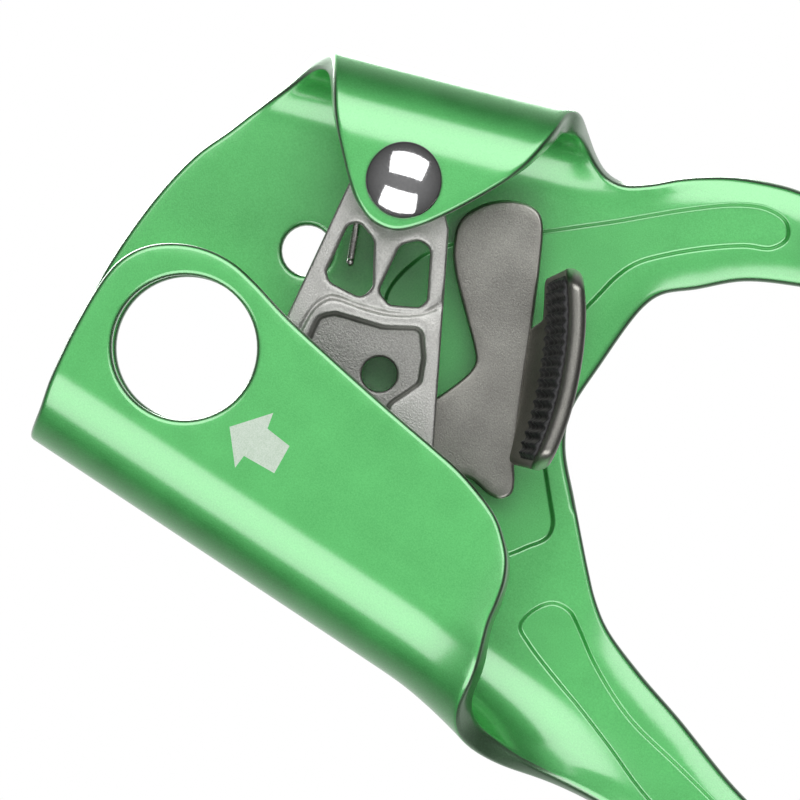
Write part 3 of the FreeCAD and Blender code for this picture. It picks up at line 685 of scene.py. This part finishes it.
ARM = [
    (43.6, -13.4), (48.2, -18.6), (51.5, -22.3), (54.7, -25.9), (60.6, -32.2), (65.3, -38),
    (67, -41.6), (66.9, -44.5), (65.2, -45.8), (63, -44.8), (61.4, -41.8), (58.3, -37.7), (54.7, -33.8),
    (51.7, -31.2), (49, -30), (45.5, -29.3), (40, -28.6), (30, -30.5), (24.5, -34.4),
    (21.8, -36.7), (19.4, -38.9), (17, -40.9), (15.2, -41.2), (13.2, -40), (9, -36),
    (17, -24), (24.8, -16), (26.4, -9.5), (30, -6.2), (37.6, -7.6),
]
STRUT = [
    (3.6, -44.6), (6.4, -45), (8.5, -46.6), (8.8, -49), (7.5, -51.4), (4.8, -55.6),
    (1.5, -63), (-0.3, -72), (-2.6, -84), (-4, -93), (-5.6, -95.4), (-7.6, -94.2), (-8, -91),
    (-7.3, -79), (-6, -70.5), (-3.3, -63), (-1.1, -56.9), (2.4, -46.6),
]
ARROW = [(4.6, 1.2), (9.2, -2.5), (7.1, -3), (6.8, -6.6), (2.8, -6.9), (2.5, -2.4), (0.6, -2.3)]
FOLD_REACH = 31  # flat width of a fold, and a little more
FLARE_END = -82  # height below which the strut is flat
FOLD_START, FOLD_STOP = -9, 54  # along the cam fold's axis
RECESS_STEP = 0.26  # half the width of the step round a pressed recess
STEP_GAPS = (-0.42, -RECESS_STEP, -0.13, 0.0, 0.13, RECESS_STEP, 0.42)


def hole_of(name):
    """Centre and radius of one of the record's bores, in millimetres."""
    for mount in frame["record"]["mounts"]:
        if mount["name"] == name:
            x, _, z = mount["pos_m"]
            return x * TO_MM, z * TO_MM, mount["dims"]["r_mm"]


def build_frame():
    """The folded sheet with its recesses and arrow, as (verts, faces, marks)."""
    outer = spline([flat_point(kind, *point) for kind, run in OUTLINE for point in run], 0.75)
    x, z, radius = hole_of("upper_hole")
    turn = -math.pi * MID  # the flap's flat point turn - x lies in front of the plate's point x
    holes = [spline(HAND, 0.9), circle(x, z, radius, 0.8), circle(turn - x, z, radius, 0.8)]
    holes += [circle(*hole_of(name), 0.7) for name in ("cord_hole", "lower_hole", "foot_hole")]
    arm, strut = spline(ARM, 0.6), spline(STRUT, 0.6)
    arrow = fill_gaps(turned(np.array([(turn - x, z) for x, z in ARROW]), True), 0.8)
    steps = np.concatenate([offset(loop, gap) for loop in (arm, strut) for gap in STEP_GAPS])

    def spacing(low, high):
        def curved(p):
            q, v = (p - FOLD_AT) @ ACROSS, (p - FOLD_AT) @ DOWN
            wrapped = (p[:, 0] < 0.5) & (p[:, 0] > -FOLD_REACH) & (p[:, 1] > FLARE_END)
            folded = (q > -1) & (q < FOLD_REACH) & (v > FOLD_START) & (v < FOLD_STOP)
            return wrapped | folded
        coarse = even_grid(1.3)(low, high)
        fine = even_grid(0.75)(low, high)
        keep = np.concatenate([coarse[~curved(coarse)], fine[curved(fine)]])
        keep = keep[np.minimum(distance(keep, arm), distance(keep, strut)) > 0.85]
        return np.concatenate([keep[distance(keep, arrow) > 0.5], arrow])

    def edge(loop):
        stout = ease(-26, -40, loop[:, 1]) * (loop[:, 0] > 20) + ease(-50, -62, loop[:, 1])
        return 0.72 + 0.38 * np.clip(stout, 0, 1)

    def lift(flat, depth):
        # The arm and the strut swell a little inside their rims.
        rim = np.clip(ease(-24, -38, flat[:, 1]) * ease(30, 44, flat[:, 0])
                      + ease(-46, -60, flat[:, 1]), 0, 1)
        rise = 0.55 * rim * ease(0.3, 3.6, depth) - 0.25 * rim
        sunk = np.maximum(ease(-RECESS_STEP, RECESS_STEP, depth_in(flat, arm)),
                          ease(-RECESS_STEP, RECESS_STEP, depth_in(flat, strut)))
        return rise - sunk * (0.68 + 0.2 * rim)

    verts, faces, marks = sheet_mesh(outer, holes, edge, HALF, place_sheet, spacing, steps, lift)
    middle = verts[np.array([face[:3] for face in faces])].mean(1)
    on_flap = np.abs(middle[:, 1] - FLAP_FACE) < 0.2
    in_arrow = inside(middle[:, [0, 2]], np.array(ARROW)) & on_flap
    return verts, faces, np.where(in_arrow, ETCH, marks).tolist()


finish_mesh("folded_frame", build_frame(), [GREEN, ETCHED, EDGE_PAINTED_REFLECTION], "root", "frame")

# ---- cam

CAM_FRONT, CAM_BACK = -5.0, 3.0
SPIRAL_ANGLE = math.radians(25)  # between the toothed face and a circle about the axle
SPIRAL_RADIUS = 52.4  # where the face is that far below the level of the axle
LEFT_WINDOW = [(34.9, 3, 1.4), (36, 1.9, 1.3), (35.1, -0.9, 1.6), (29.8, -4.2, 1.4),
               (27.8, -3.7, 1.3), (27.3, 0.9, 1.4), (28.3, 2, 1.2)]
RIGHT_WINDOW = [(36.4, -4.1, 1.6), (38.3, -5.8, 1.5), (38.3, -7.6, 1.6), (32.3, -11, 1.2),
                (31, -10.7, 1.1), (29.1, -7.2, 1.2), (29.8, -5.1, 1.3)]
CAM_POCKET = [(6, -4, 3), (20, -0.9, 3), (22.9, -0.4, 1.6), (24.4, -2, 1.8),
              (26.3, -8.2, 4), (28.9, -12.4, 1.2), (25.9, -14.8, 1.5), (22.8, -16.2, 1.5),
              (18, -14.2, 2), (8, -21, 3), (3, -13, 4)]
RIB_LINE = [(8, -1), (15, 0), (20.2, 0.6), (23.6, 0.7), (25.6, -0.2), (26.3, -1.6),
            (26.9, -4.2), (27.9, -7.2), (29.3, -9.8), (31.2, -11.9), (33.2, -12.9), (34.6, -12.4)]
CAM_HOLE = (20.9, -11.1, 2.3)


def face_point(degrees, rise=0.0):
    """A point of the cam's toothed face, at an angle below the axle."""
    a = math.radians(degrees)
    r = SPIRAL_RADIUS * math.exp((a - SPIRAL_ANGLE) * math.tan(SPIRAL_ANGLE)) + rise
    return AXLE.x - r * math.cos(a), -r * math.sin(a)


TOOTH = ((0, 1.0), (0.5, 0.92), (0.95, 0.66), (1.4, 0.40), (1.72, 0.20), (1.84, 0.08))


def tooth(degrees, column):
    """A cone on the cam's face that leans down the rope, from (height, radius) steps."""
    a = math.radians(degrees)
    out = np.array([-math.cos(a), 0.0, -math.sin(a)])
    lean = out + np.array([-math.sin(a), 0, math.cos(a)]) * -0.35
    x, z = face_point(degrees, -0.45)
    sideways = np.array([0, 1.0, 0])
    b = angles(14)[:, None]
    ring = np.cos(b) * sideways + np.sin(b) * np.cross(out, sideways)
    return tube_grid([np.array([x, column, z]) + lean * along + radius * ring
                      for along, radius in TOOTH])


def build_cam():
    """The cast cam with its pocket, rib, boss and teeth, as (verts, faces, marks)."""
    face = [face_point(a) for a in np.arange(0.6, 32.9, 1.0)]
    fx, fz = face_point(33)
    foot = [(fx + 0.1, fz - 0.5), (fx + 1.0, fz - 1.7), (fx + 2.2, fz - 2.0), (fx + 3.4, fz - 1.6)]
    hub = [(AXLE.x + 6.5 * math.cos(a), 6.5 * math.sin(a))
           for a in np.radians(np.arange(-92, 105, 8.0))]
    outline = face + foot + [(16.9, -22.2), (32.9, -13.15), (34.8, -12.1), (41.5, -8.3)] + hub
    outline += [(39.2, 5.8), (20.5, 3.0), (1.3, 0.1)]
    outline = fill_gaps(np.array(outline), 0.6)
    holes = [rounded(LEFT_WINDOW, 0.45), rounded(RIGHT_WINDOW, 0.45), circle(*CAM_HOLE, 0.4)]
    pocket = rounded(CAM_POCKET, 0.5)
    rib = spline(RIB_LINE, 0.45, closed=False)
    steps = [offset(pocket, gap) for gap in (-0.45, -0.25, -0.1, 0.1, 0.25, 0.4, 0.55)]
    way = unit(np.gradient(rib, axis=0))
    side = np.stack([-way[:, 1], way[:, 0]], axis=1)
    steps += [rib + side * gap for gap in (-0.6, -0.4, -0.25, -0.12, 0, 0.12, 0.25, 0.4, 0.6)]

    def spacing(low, high):
        grid = even_grid(0.8)(low, high)
        return grid[np.minimum(distance(grid, pocket), distance(grid, rib, False)) > 0.75]

    def bump(size, gap, middle, width):
        return size * np.exp(-((gap - middle) / width) ** 2)

    def lift(flat, depth):
        # A sunk pocket with a raised crest round it, a groove, and raised lips on the windows.
        in_pocket, to_rib = depth_in(flat, pocket), distance(flat, rib, False)
        crest = bump(0.22, in_pocket, -1.1, 0.7) * (to_rib < 4)
        lips = sum(bump(0.16, distance(flat, loop), 0.75, 0.5) for loop in holes[:2])
        return crest + lips - ease(-0.35, 0.45, in_pocket) * 1.35 - bump(0.38, to_rib, 0, 0.30)

    verts, faces, _ = sheet_mesh(outline, holes, fixed(0.42), (CAM_BACK - CAM_FRONT) / 2,
                                 upright((CAM_BACK + CAM_FRONT) / 2), spacing,
                                 np.concatenate(steps), lift)
    centres = np.array([verts[list(face[:3])].mean(0) for face in faces])
    # Faces on the pocket floor get the darker painted shade.
    sunk = (depth_in(centres[:, [0, 2]], pocket) > 0.1) & (centres[:, 1] < CAM_FRONT + 2)
    # The boss reaches the flap, inside the fold.
    boss = [(0, -7.45), (4.9, -7.45), (5.25, -7.35), (5.4, -7.1), (5.4, -4.6), (0, -4.6)]
    parts = [(verts, faces), revolve(boss, AXLE.x, 0, 48)]
    for row in range(10):
        columns = (-3.2, -0.7, 1.8) if row % 2 == 0 else (-1.95, 0.55)
        parts += [tooth(1.5 + 3.0 * row, column) for column in columns]
    verts, faces = merge(*parts)
    return verts, faces, sunk.astype(int).tolist() + [0] * (len(faces) - len(sunk))


finish_mesh("toothed_cam", build_cam(), [CAST, POCKET_PAINTED_SHADE], "cam", "cam")

# ---- catch and its thumb wing

CATCH_FRONT, CATCH_BACK = 3.3, 5.3
CATCH = [
    (41.3, -9.4), (42.8, -8.9), (44.6, -9), (47.2, -10.4), (49.2, -12.7), (50.1, -15.1),
    (50, -16.8), (49, -18.1), (43.9, -21), (40.5, -22.7), (37, -24.4), (30, -27.7),
    (20.6, -32.4), (19.2, -33.4), (17.4, -34.1), (16, -33.2), (15.7, -31.5), (16, -28.4),
    (14.2, -25.2), (10.6, -21.4), (10, -17.2), (12.4, -13.6), (16.6, -13.4), (19.6, -15.6),
    (21.4, -18.2), (23, -19.2), (27.9, -20.8), (29.3, -20.6), (30.6, -19.5), (34.2, -15.5),
    (37.2, -12.2), (39.2, -10.5),
]
WING_FOOT = ((42.3, -21.9), (20.8, -32.2))
WING_EDGE = ((46.2, -24.4), (21.8, -35.0))
BEND_END = 0.72  # beyond this share of its length the wing is free of the plate
WING_TOP = 4.3  # levels of the bend and of the wing's free edge
WING_FREE = -12.0


def wing_lines(t):
    """Foot and free edge of the wing's middle at a share of its length, and the outward way."""
    foot_ends, edge_ends = np.array(WING_FOOT), np.array(WING_EDGE)
    along = foot_ends[0] - foot_ends[1]
    along /= np.linalg.norm(along)
    out = np.array([along[1], -along[0]])
    foot = foot_ends[1] + (foot_ends[0] - foot_ends[1]) * t
    foot = foot + out * (0.5 * (1 - (2 * t - 1) ** 2) + 1.3 * max(0.0, t - 0.55) ** 1.5)
    edge = edge_ends[1] + (edge_ends[0] - edge_ends[1]) * t
    edge = edge + out * (2.1 * (1 - abs(2 * t - 1) ** 2.2))
    return foot, edge, out


def wing_section(t, shift, low, high, points):
    """Line across the wing between two levels, shifted outwards: its (points, normals, ways)."""
    foot, edge, out = wing_lines(t)
    levels = np.linspace(low, high, points)
    share = (WING_TOP - levels) / (WING_TOP - WING_FREE)
    curve = 1 - (1 - np.clip(share, 0, 1)) ** 2.6
    line = foot + (edge - foot) * curve[:, None]
    middle = np.stack([line[:, 0], levels, line[:, 1]], axis=1)
    way = unit(np.gradient(middle, axis=0))
    outward = np.array([out[0], 0, out[1]])
    normal = unit(outward - way * (way @ outward)[:, None])
    return middle + normal * shift, normal, way


def build_catch():
    """Flat catch plate and the curved thumb wing bent forwards from it."""
    plate = sheet_mesh(spline(CATCH, 0.5), [], fixed(0.5), (CATCH_BACK - CATCH_FRONT) / 2,
                       upright((CATCH_FRONT + CATCH_BACK) / 2), even_grid(1.2))[:2]
    rows = []
    for t in np.linspace(0, 1, 90):
        end = 1 - abs(2 * t - 1)
        round_end = math.sqrt(max(0.0, 1 - (1 - min(1, end / 0.10)) ** 2))
        free_low = 4.5 if t < BEND_END else 4.5 - 2.8 * float(ease(BEND_END, BEND_END + 0.06, t))
        top = WING_FREE + 1.1 + 4.2 * (1 - min(1, end / 0.22)) ** 2.0
        half = 1.15 * (0.35 + 0.65 * round_end)
        middle, normal, way = wing_section(t, 0.0, free_low, top, 16)
        ring = [m + n * half for m, n in zip(middle, normal)]
        for a in np.linspace(math.pi / 2, -math.pi / 2, 9)[1:-1]:
            ring.append(middle[-1] + normal[-1] * half * math.sin(a)
                        + way[-1] * half * math.cos(a))
        ring += [m - n * half for m, n in zip(middle[::-1], normal[::-1])]
        for a in np.linspace(-math.pi / 2, math.pi / 2, 7)[1:-1]:
            ring.append(middle[0] + normal[0] * half * math.sin(a)
                        - way[0] * 0.75 * half * math.cos(a))
        rows.append(np.array(ring))
    return merge(plate, tube_grid(rows))


def build_pad():
    """Black pad on the inside of the wing, with ribs across it."""
    rows = []
    ribs, rib_rows = 17, 8
    count = ribs * rib_rows
    for i in range(count + 1):
        t = 0.045 + 0.91 * i / count
        end = min(i, count - i) / 6
        thick = (0.90 + 0.75 * wave_of(i / rib_rows) ** 1.5) * min(1.0, 0.35 + 0.65 * end)
        reach = 1 - abs(2 * t - 1)
        top = WING_FREE + 1.1 + 4.2 * (1 - min(1, reach / 0.24)) ** 2.0
        middle, normal, way = wing_section(t, -1.05, 0.2, top, 22)
        ring = list(middle + normal * 0.12)
        outer = []
        for k, (m, n) in enumerate(zip(middle, normal)):
            share = k / (len(middle) - 1)
            edge = min(1.0, 4.5 * min(share, 1 - share) + 0.25)
            nub = 0.85 + 0.15 * math.cos(share * math.pi * 10)
            outer.append(m - n * thick * math.sqrt(edge) * nub)
        rows.append(np.array(ring + outer[::-1]))
    return tube_grid(rows)


finish_mesh("catch_plate_and_wing", build_catch(), [TUMBLED], "catch", "catch")
finish_mesh("ribbed_thumb_pad", build_pad(), [RUBBER], "catch", "thumb_pad")

# ---- rivet, pin and springs


def dome(radius, rise, level, towards, count):
    """Points of a spherical dome, from its rim to its top, as (radius, y)."""
    sphere = (radius ** 2 + rise ** 2) / (2 * rise)
    top = math.asin(radius / sphere)
    return [(sphere * math.sin(a), level + towards * (rise - sphere + sphere * math.cos(a)))
            for a in np.linspace(top, 0, count)]


def build_rivet():
    """The axle: a wide dome over the flap, a shank, and a smaller dome over the washer."""
    rim = FLAP_FACE - 0.45
    washer = PLATE_BACK + 1.0
    tail = dome(4.6, 1.7, washer, 1, 12)[::-1]
    shank = [(3.0, washer), (3.0, FLAP_FACE + 0.05)]
    head = [(5.0, FLAP_FACE + 0.05), (5.0, FLAP_FACE - 0.2), (4.97, rim + 0.05)]
    return revolve(tail + shank + head + dome(4.95, 1.85, rim, -1, 16), AXLE.x, AXLE.z, 72)


WASHER = [(0, 11.02), (6.3, 11.02), (6.6, 11.2), (6.6, 11.75), (6.35, 12.0), (0, 12.0)]
PIN_PROFILE = [(0, -1.5), (1.5, -1.5), (1.75, -1.3), (1.75, 5.4), (2.9, 5.4), (3.0, 5.55),
               (3.0, 5.9), (2.6, 6.25), (1.6, 6.4), (0, 6.42)]
finish_mesh("domed_rivet", build_rivet(), [POLISHED], "root", "cam_axle")
finish_mesh("rivet_washer", revolve(WASHER, AXLE.x, AXLE.z, 72), [POLISHED], "root",
            "axle_washer")
finish_mesh("pivot_pin", revolve(PIN_PROFILE, PIN.x, PIN.z, 48), [POLISHED], "cam",
            "catch_pin")


def coil_path(centre, radius, wire_width, start, sweep, first, last):
    """Middle line of a torsion spring, clockwise from the front to the rear, with both its legs."""
    pitch = wire_width * 1.12
    turn = []
    for step in np.arange(0, sweep + 0.1, 7.5):
        a = math.radians(start - step)
        turn.append((centre[0] + radius * math.cos(a), centre[1] + pitch * step / 360,
                     centre[2] + radius * math.sin(a)))
    points = list(reversed(first)) + turn + list(last)
    dense = fill_gaps(np.array(points), 0.35, False)
    for _ in range(3):
        dense[1:-1] = (dense[:-2] + 2 * dense[1:-1] + dense[2:]) / 4
    return dense


# Each spring coils about its pivot, with one leg against each of the joint's two bodies; the mesh is
# fixed and rides with neither.
LEVEL = CATCH_FRONT + 0.5  # front of the cam's spring
main_path = coil_path((AXLE.x, LEVEL, 0), 5.3, 1.0, 115, 795,
                      [(31.0, LEVEL, 0.1), (31.0, LEVEL - 2.2, 0.1)], [(51.6, 5.4, -1.6)])
main_spring = finish_mesh("cam_torsion_spring", wire(main_path, 0.5), [WIRE], None,
                          "cam_spring")
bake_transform(main_spring)
small_path = coil_path((PIN.x, 1.3, PIN.z), 2.6, 0.6, 0, 810,
                       [(PIN.x + 2.6, 0.1, PIN.z)], [(PIN.x, 4.5, PIN.z - 2.6)])
small_spring = finish_mesh("catch_torsion_spring", wire(small_path, 0.3, 12), [WIRE], None,
                           "catch_spring")
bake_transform(small_spring)

# ---- grip

GRIP_INNER = [(61.6, -50.5), (60.4, -56), (58.3, -60.5), (52.6, -69), (48.6, -79), (46.2, -89),
              (43.6, -99), (40.8, -109), (37.4, -119), (33.9, -127.2), (32.9, -129.6)]
GRIP_OUTER = [(75.2, -46), (76.8, -52), (77.4, -60), (77.2, -70), (76.4, -80), (74.2, -94),
              (70.6, -107), (65.6, -119.4), (59.2, -130), (52.6, -137.4), (50.2, -139.8)]
GRIP_HALF = 12.2  # half its depth
GRIP_LENGTH = 92.0
FINGER_PITCH, FIRST_FINGER = 22.0, 13.0
GROOVE = 1.2  # how far the finger grooves go to either side of the inner line
SCREWS = [(68, -57), (63, -86), (50.5, -119)]
SQUARENESS = 2.7  # of the grip's section; 2 would be an ellipse
ROWS = 230
INNER_LINE = spline(GRIP_INNER, 0.3, closed=False)
OUTER_LINE = spline(GRIP_OUTER, 0.3, closed=False)


def along_line(line, share):
    """Point of a polyline at a share of its length."""
    run = np.concatenate([[0], np.cumsum(np.linalg.norm(np.diff(line, axis=0), axis=1))])
    at = share * run[-1]
    return np.array([np.interp(at, run, line[:, 0]), np.interp(at, run, line[:, 1])])


def power(values, exponent):
    """Values raised to a power, with their signs kept."""
    return np.sign(values) * np.abs(values) ** exponent


TURN = np.linspace(-math.pi / 2, 3 * math.pi / 2, 1441)
OVAL = power(np.stack([np.cos(TURN), np.sin(TURN)], axis=1), 2 / SQUARENESS)
OVAL_RUN = np.concatenate([[0], np.cumsum(np.linalg.norm(np.diff(OVAL * [14.3, GRIP_HALF], axis=0),
                                                         axis=1))])
INSERT_EDGE = 0.80  # the soft inserts reach this share of the half depth
SEAM = 0.012  # half the gap between two pieces, as such a share
SECTIONS = {"front": 64, "rear": 64, "palm": 56, "finger": 56}  # points across each piece


def oval_part(kind):
    """The piece's part of the unit oval, evenly spaced, and each point's way along it."""
    if kind in ("palm", "finger"):
        side = 1 if kind == "palm" else -1
        test = (OVAL[:, 0] * side > 0) & (OVAL[:, 1] > -INSERT_EDGE + SEAM)
        test &= OVAL[:, 1] < INSERT_EDGE - SEAM
    else:
        test = OVAL[:, 1] * (1 if kind == "front" else -1) > INSERT_EDGE + SEAM
    run, points = OVAL_RUN[test], OVAL[test]
    if kind == "rear":
        # The rear lies on both sides of where the list of angles starts.
        cut = int(np.argmax(np.diff(run) > 2)) + 1
        points = np.concatenate([points[cut:], points[:cut]])
        run = np.concatenate([run[cut:] - OVAL_RUN[-1], run[:cut]])
    at = np.linspace(run[0], run[-1], SECTIONS[kind])
    return (np.stack([np.interp(at, run, points[:, 0]), np.interp(at, run, points[:, 1])], axis=1),
            at - at[0])


def build_grip_piece(kind):
    """One of front, rear, palm and finger."""
    arc, run = oval_part(kind)
    border_gap = np.minimum(run, run[-1] - run)
    dip = 0.5 * (1 - np.sqrt(1 - (1 - np.clip(border_gap / 0.9, 0, 1)) ** 2))
    rows = []
    for i in range(ROWS + 1):
        t = i / ROWS
        at = t * GRIP_LENGTH
        to_end = min(t, 1 - t)
        inner, outer = along_line(INNER_LINE, t), along_line(OUTER_LINE, t)
        # Finger grooves run round the whole finger side, shells included.
        wave = (math.cos(math.tau * (at - FIRST_FINGER) / FINGER_PITCH)
                * float(ease(0.0, 0.10, to_end)))
        inner = inner - (outer - inner) / np.linalg.norm(outer - inner) * GROOVE * wave
        middle, half_vec = (inner + outer) / 2, (outer - inner) / 2
        width = float(np.linalg.norm(half_vec))
        across = half_vec / width
        end = (1 - (1 - min(1.0, to_end * GRIP_LENGTH / 5.0)) ** 2.3) ** (1 / 2.3)
        height = GRIP_HALF * (0.93 + 0.07 * math.sin(math.pi * t)) * (0.42 + 0.58 * end)
        wide = width * (0.90 + 0.10 * end)
        shrink = dip.copy()
        if kind == "finger":
            shrink -= 0.5 * wave * np.exp(-(arc[:, 1] / 0.62) ** 4) * end
            shrink += 0.38 * wave_of(at / 2.3) ** 2 * np.exp(-(arc[:, 1] / 0.72) ** 8) * end
        elif kind == "palm":
            ribs = wave_of((at + 2.4 * np.abs(arc[:, 1])) / 3.0)
            ribbed = float(ease(0.05, 0.09, t) * ease(0.95, 0.91, t)) if t < 0.95 else 0.0
            shrink += 0.55 * ribs ** 2 * np.exp(-(arc[:, 1] / 0.66) ** 8) * ribbed
        else:
            # A shallow panel runs down the middle of each shell.
            panel = 1 - ease(0.50, 0.60, np.abs(arc[:, 0]))
            shrink += 0.45 * panel * float(ease(0.055, 0.075, t) * (1 - ease(0.925, 0.945, t)))
        normal = unit(power(arc, SQUARENESS - 1) / [wide, height])
        w, h = (arc * [wide, height] - normal * shrink[:, None]).T
        if kind == "front":
            where = middle + w[:, None] * across
            for x, z in SCREWS:
                off = np.hypot(where[:, 0] - x, where[:, 1] - z)
                h = h - 2.2 * (1 - ease(3.05, 3.65, off))
        if kind in ("front", "rear"):
            back_w = np.linspace(w[-1], w[0], 10)
            back_h = np.full(10, HALF if kind == "front" else -HALF)
        else:
            back_w = np.full(10, (0.5 if kind == "palm" else -0.5) * wide)
            back_h = np.linspace(h[-1] * 0.96, h[0] * 0.96, 10)
        w, h = np.concatenate([w, back_w]), np.concatenate([h, back_h])
        xz = middle + w[:, None] * across
        rows.append(np.stack([xz[:, 0], MID - h, xz[:, 1]], axis=1))
    return tube_grid(rows)


def build_screws():
    """Low round heads with a six-sided socket."""
    face, steps, socket = -0.75, 48, 1.45
    a = angles(steps)
    hexagon = socket * math.cos(math.pi / 6) / np.cos((a % (math.pi / 3)) - math.pi / 6)
    rings = [(0.01, 0.9), (hexagon, 0.88), (hexagon, 0.05), (hexagon * 1.06, 0.0), (2.1, -0.04),
             (2.55, 0.08), (2.82, 0.3), (2.9, 0.6), (2.9, 1.6), (0.01, 1.6)]
    return merge(*[tube_grid([np.stack([x + r * np.cos(a), np.full(steps, face + level),
                                        z + r * np.sin(a)], axis=1) for r, level in rings])
                   for x, z in SCREWS])


for kind, name, finish, node in (("front", "grip_front_half", SHELL, "grip_front_shell"),
                                 ("rear", "grip_rear_half", SHELL, "grip_rear_shell"),
                                 ("finger", "finger_side_insert", SOFT, "finger_insert"),
                                 ("palm", "palm_side_insert", SOFT, "palm_insert")):
    finish_mesh(name, build_grip_piece(kind), [finish], "root", node)
finish_mesh("socket_screws", build_screws(), [POLISHED], "root", "grip_screws")

# ---- floor, lights and camera

UP = Vector((0.8339, 0, 0.5519))  # the picture's up and right, in the part's frame
RIGHT = Vector((0.5519, 0, -0.8339))
FRONT = Vector((0, -1, 0))
LOOK_AT = Vector((0.0196, 0.0, -0.0152))
WIDTH = 0.104  # what the picture spans at the part
CAMERA_FAR = 1.2
FILM = 36.0


def build_floor():
    """Pale floor that fades out towards its rim, into the white surroundings."""
    bpy.ops.mesh.primitive_circle_add(vertices=128, radius=0.6, fill_type="NGON",
                                      location=(0.03, 0.0, cad_low.z - 0.0004))
    floor = bpy.context.object
    floor.name = "floor"
    paper = bpy.data.materials.new("pale_floor")
    paper.use_nodes = True
    tree = paper.node_tree
    surface = tree.nodes["Principled BSDF"]
    surface.inputs["Base Color"].default_value = (0.86, 0.86, 0.86, 1)
    surface.inputs["Roughness"].default_value = 0.8
    reach = add(tree, "VectorMath", operation="LENGTH")
    fade = add(tree, "MapRange", interpolation_type="SMOOTHSTEP", From_Min=0.16, From_Max=0.55)
    joined = add(tree, "MixShader")
    join(add(tree, "TexCoord"), "Object", reach, 0)
    join(reach, "Value", fade, "Value")
    join(fade, "Result", joined, 0)
    join(surface, 0, joined, 1)
    join(add(tree, "BsdfTransparent"), 0, joined, 2)
    join(joined, 0, tree.nodes["Material Output"], "Surface")
    floor.data.materials.append(paper)
    floor.visible_glossy = False
    floor.visible_shadow = False
    return floor


def build_world():
    """White to the camera; for light and reflections, dim in front and bright behind the part."""
    world = bpy.data.worlds.new("studio")
    bpy.context.scene.world = world
    world.use_nodes = True
    tree = world.node_tree
    towards = add(tree, "SeparateXYZ")
    half_up = add(tree, "MapRange", From_Min=-1.0)
    ramp = add_ramp(tree, (0.0, [0.24] * 3), (0.52, [0.03] * 3), (1.0, [0.75] * 3))
    pick = add(tree, "Mix", data_type="RGBA")
    pick.inputs[7].default_value = (1.0, 1.0, 1.0, 1)
    join(add(tree, "TexCoord"), "Generated", towards, "Vector")
    join(towards, "Y", half_up, "Value")
    join(half_up, "Result", ramp, "Fac")
    join(add(tree, "LightPath"), "Is Camera Ray", pick, 0)
    join(ramp, "Color", pick, 6)
    join(pick, 2, tree.nodes["Background"], "Color")


def put(data, direction, far, right, up):
    """A light or camera, far from the part in a unit direction, that faces it."""
    thing = bpy.data.objects.new(data.name, data)
    bpy.context.scene.collection.objects.link(thing)
    thing.location = LOOK_AT + direction * far
    thing.rotation_mode = "QUATERNION"
    thing.rotation_quaternion = Matrix((right, up, direction)).transposed().to_quaternion()
    return thing


def soft_light(name, direction, far, size_x, size_y, watts, top):
    """Rectangular soft box in a direction from the part, facing it."""
    data = bpy.data.lights.new(name, "AREA")
    data.shape = "RECTANGLE"
    data.size, data.size_y = size_x, size_y
    data.energy = watts
    direction = direction.normalized()
    right = top.cross(direction).normalized()
    put(data, direction, far, right, direction.cross(right)).visible_camera = False


build_floor()
build_world()
BOX_TURN = math.radians(16)
# Two big soft boxes, one above and one below the line of sight, both turned a little.
BOX_UP = UP * math.cos(BOX_TURN) + RIGHT * math.sin(BOX_TURN)
for name, degrees, watts in (("upper_box", 35, 5.1), ("lower_box", -43, 4.7)):
    a = math.radians(degrees)
    soft_light(name, FRONT * math.cos(a) + BOX_UP * math.sin(a), 0.8, 1.10, 0.70, watts, BOX_UP)
soft_light("back_box", Vector((0.3, 0.9, 0.5)), 1.0, 0.8, 0.6, 9.0, UP)

lens = bpy.data.cameras.new("camera")
lens.sensor_width = FILM
lens.lens = FILM * CAMERA_FAR / WIDTH
lens.clip_start, lens.clip_end = 0.05, 20
bpy.context.scene.camera = put(lens, FRONT, CAMERA_FAR, RIGHT, UP)
bpy.context.scene.view_settings.view_transform = "Standard"
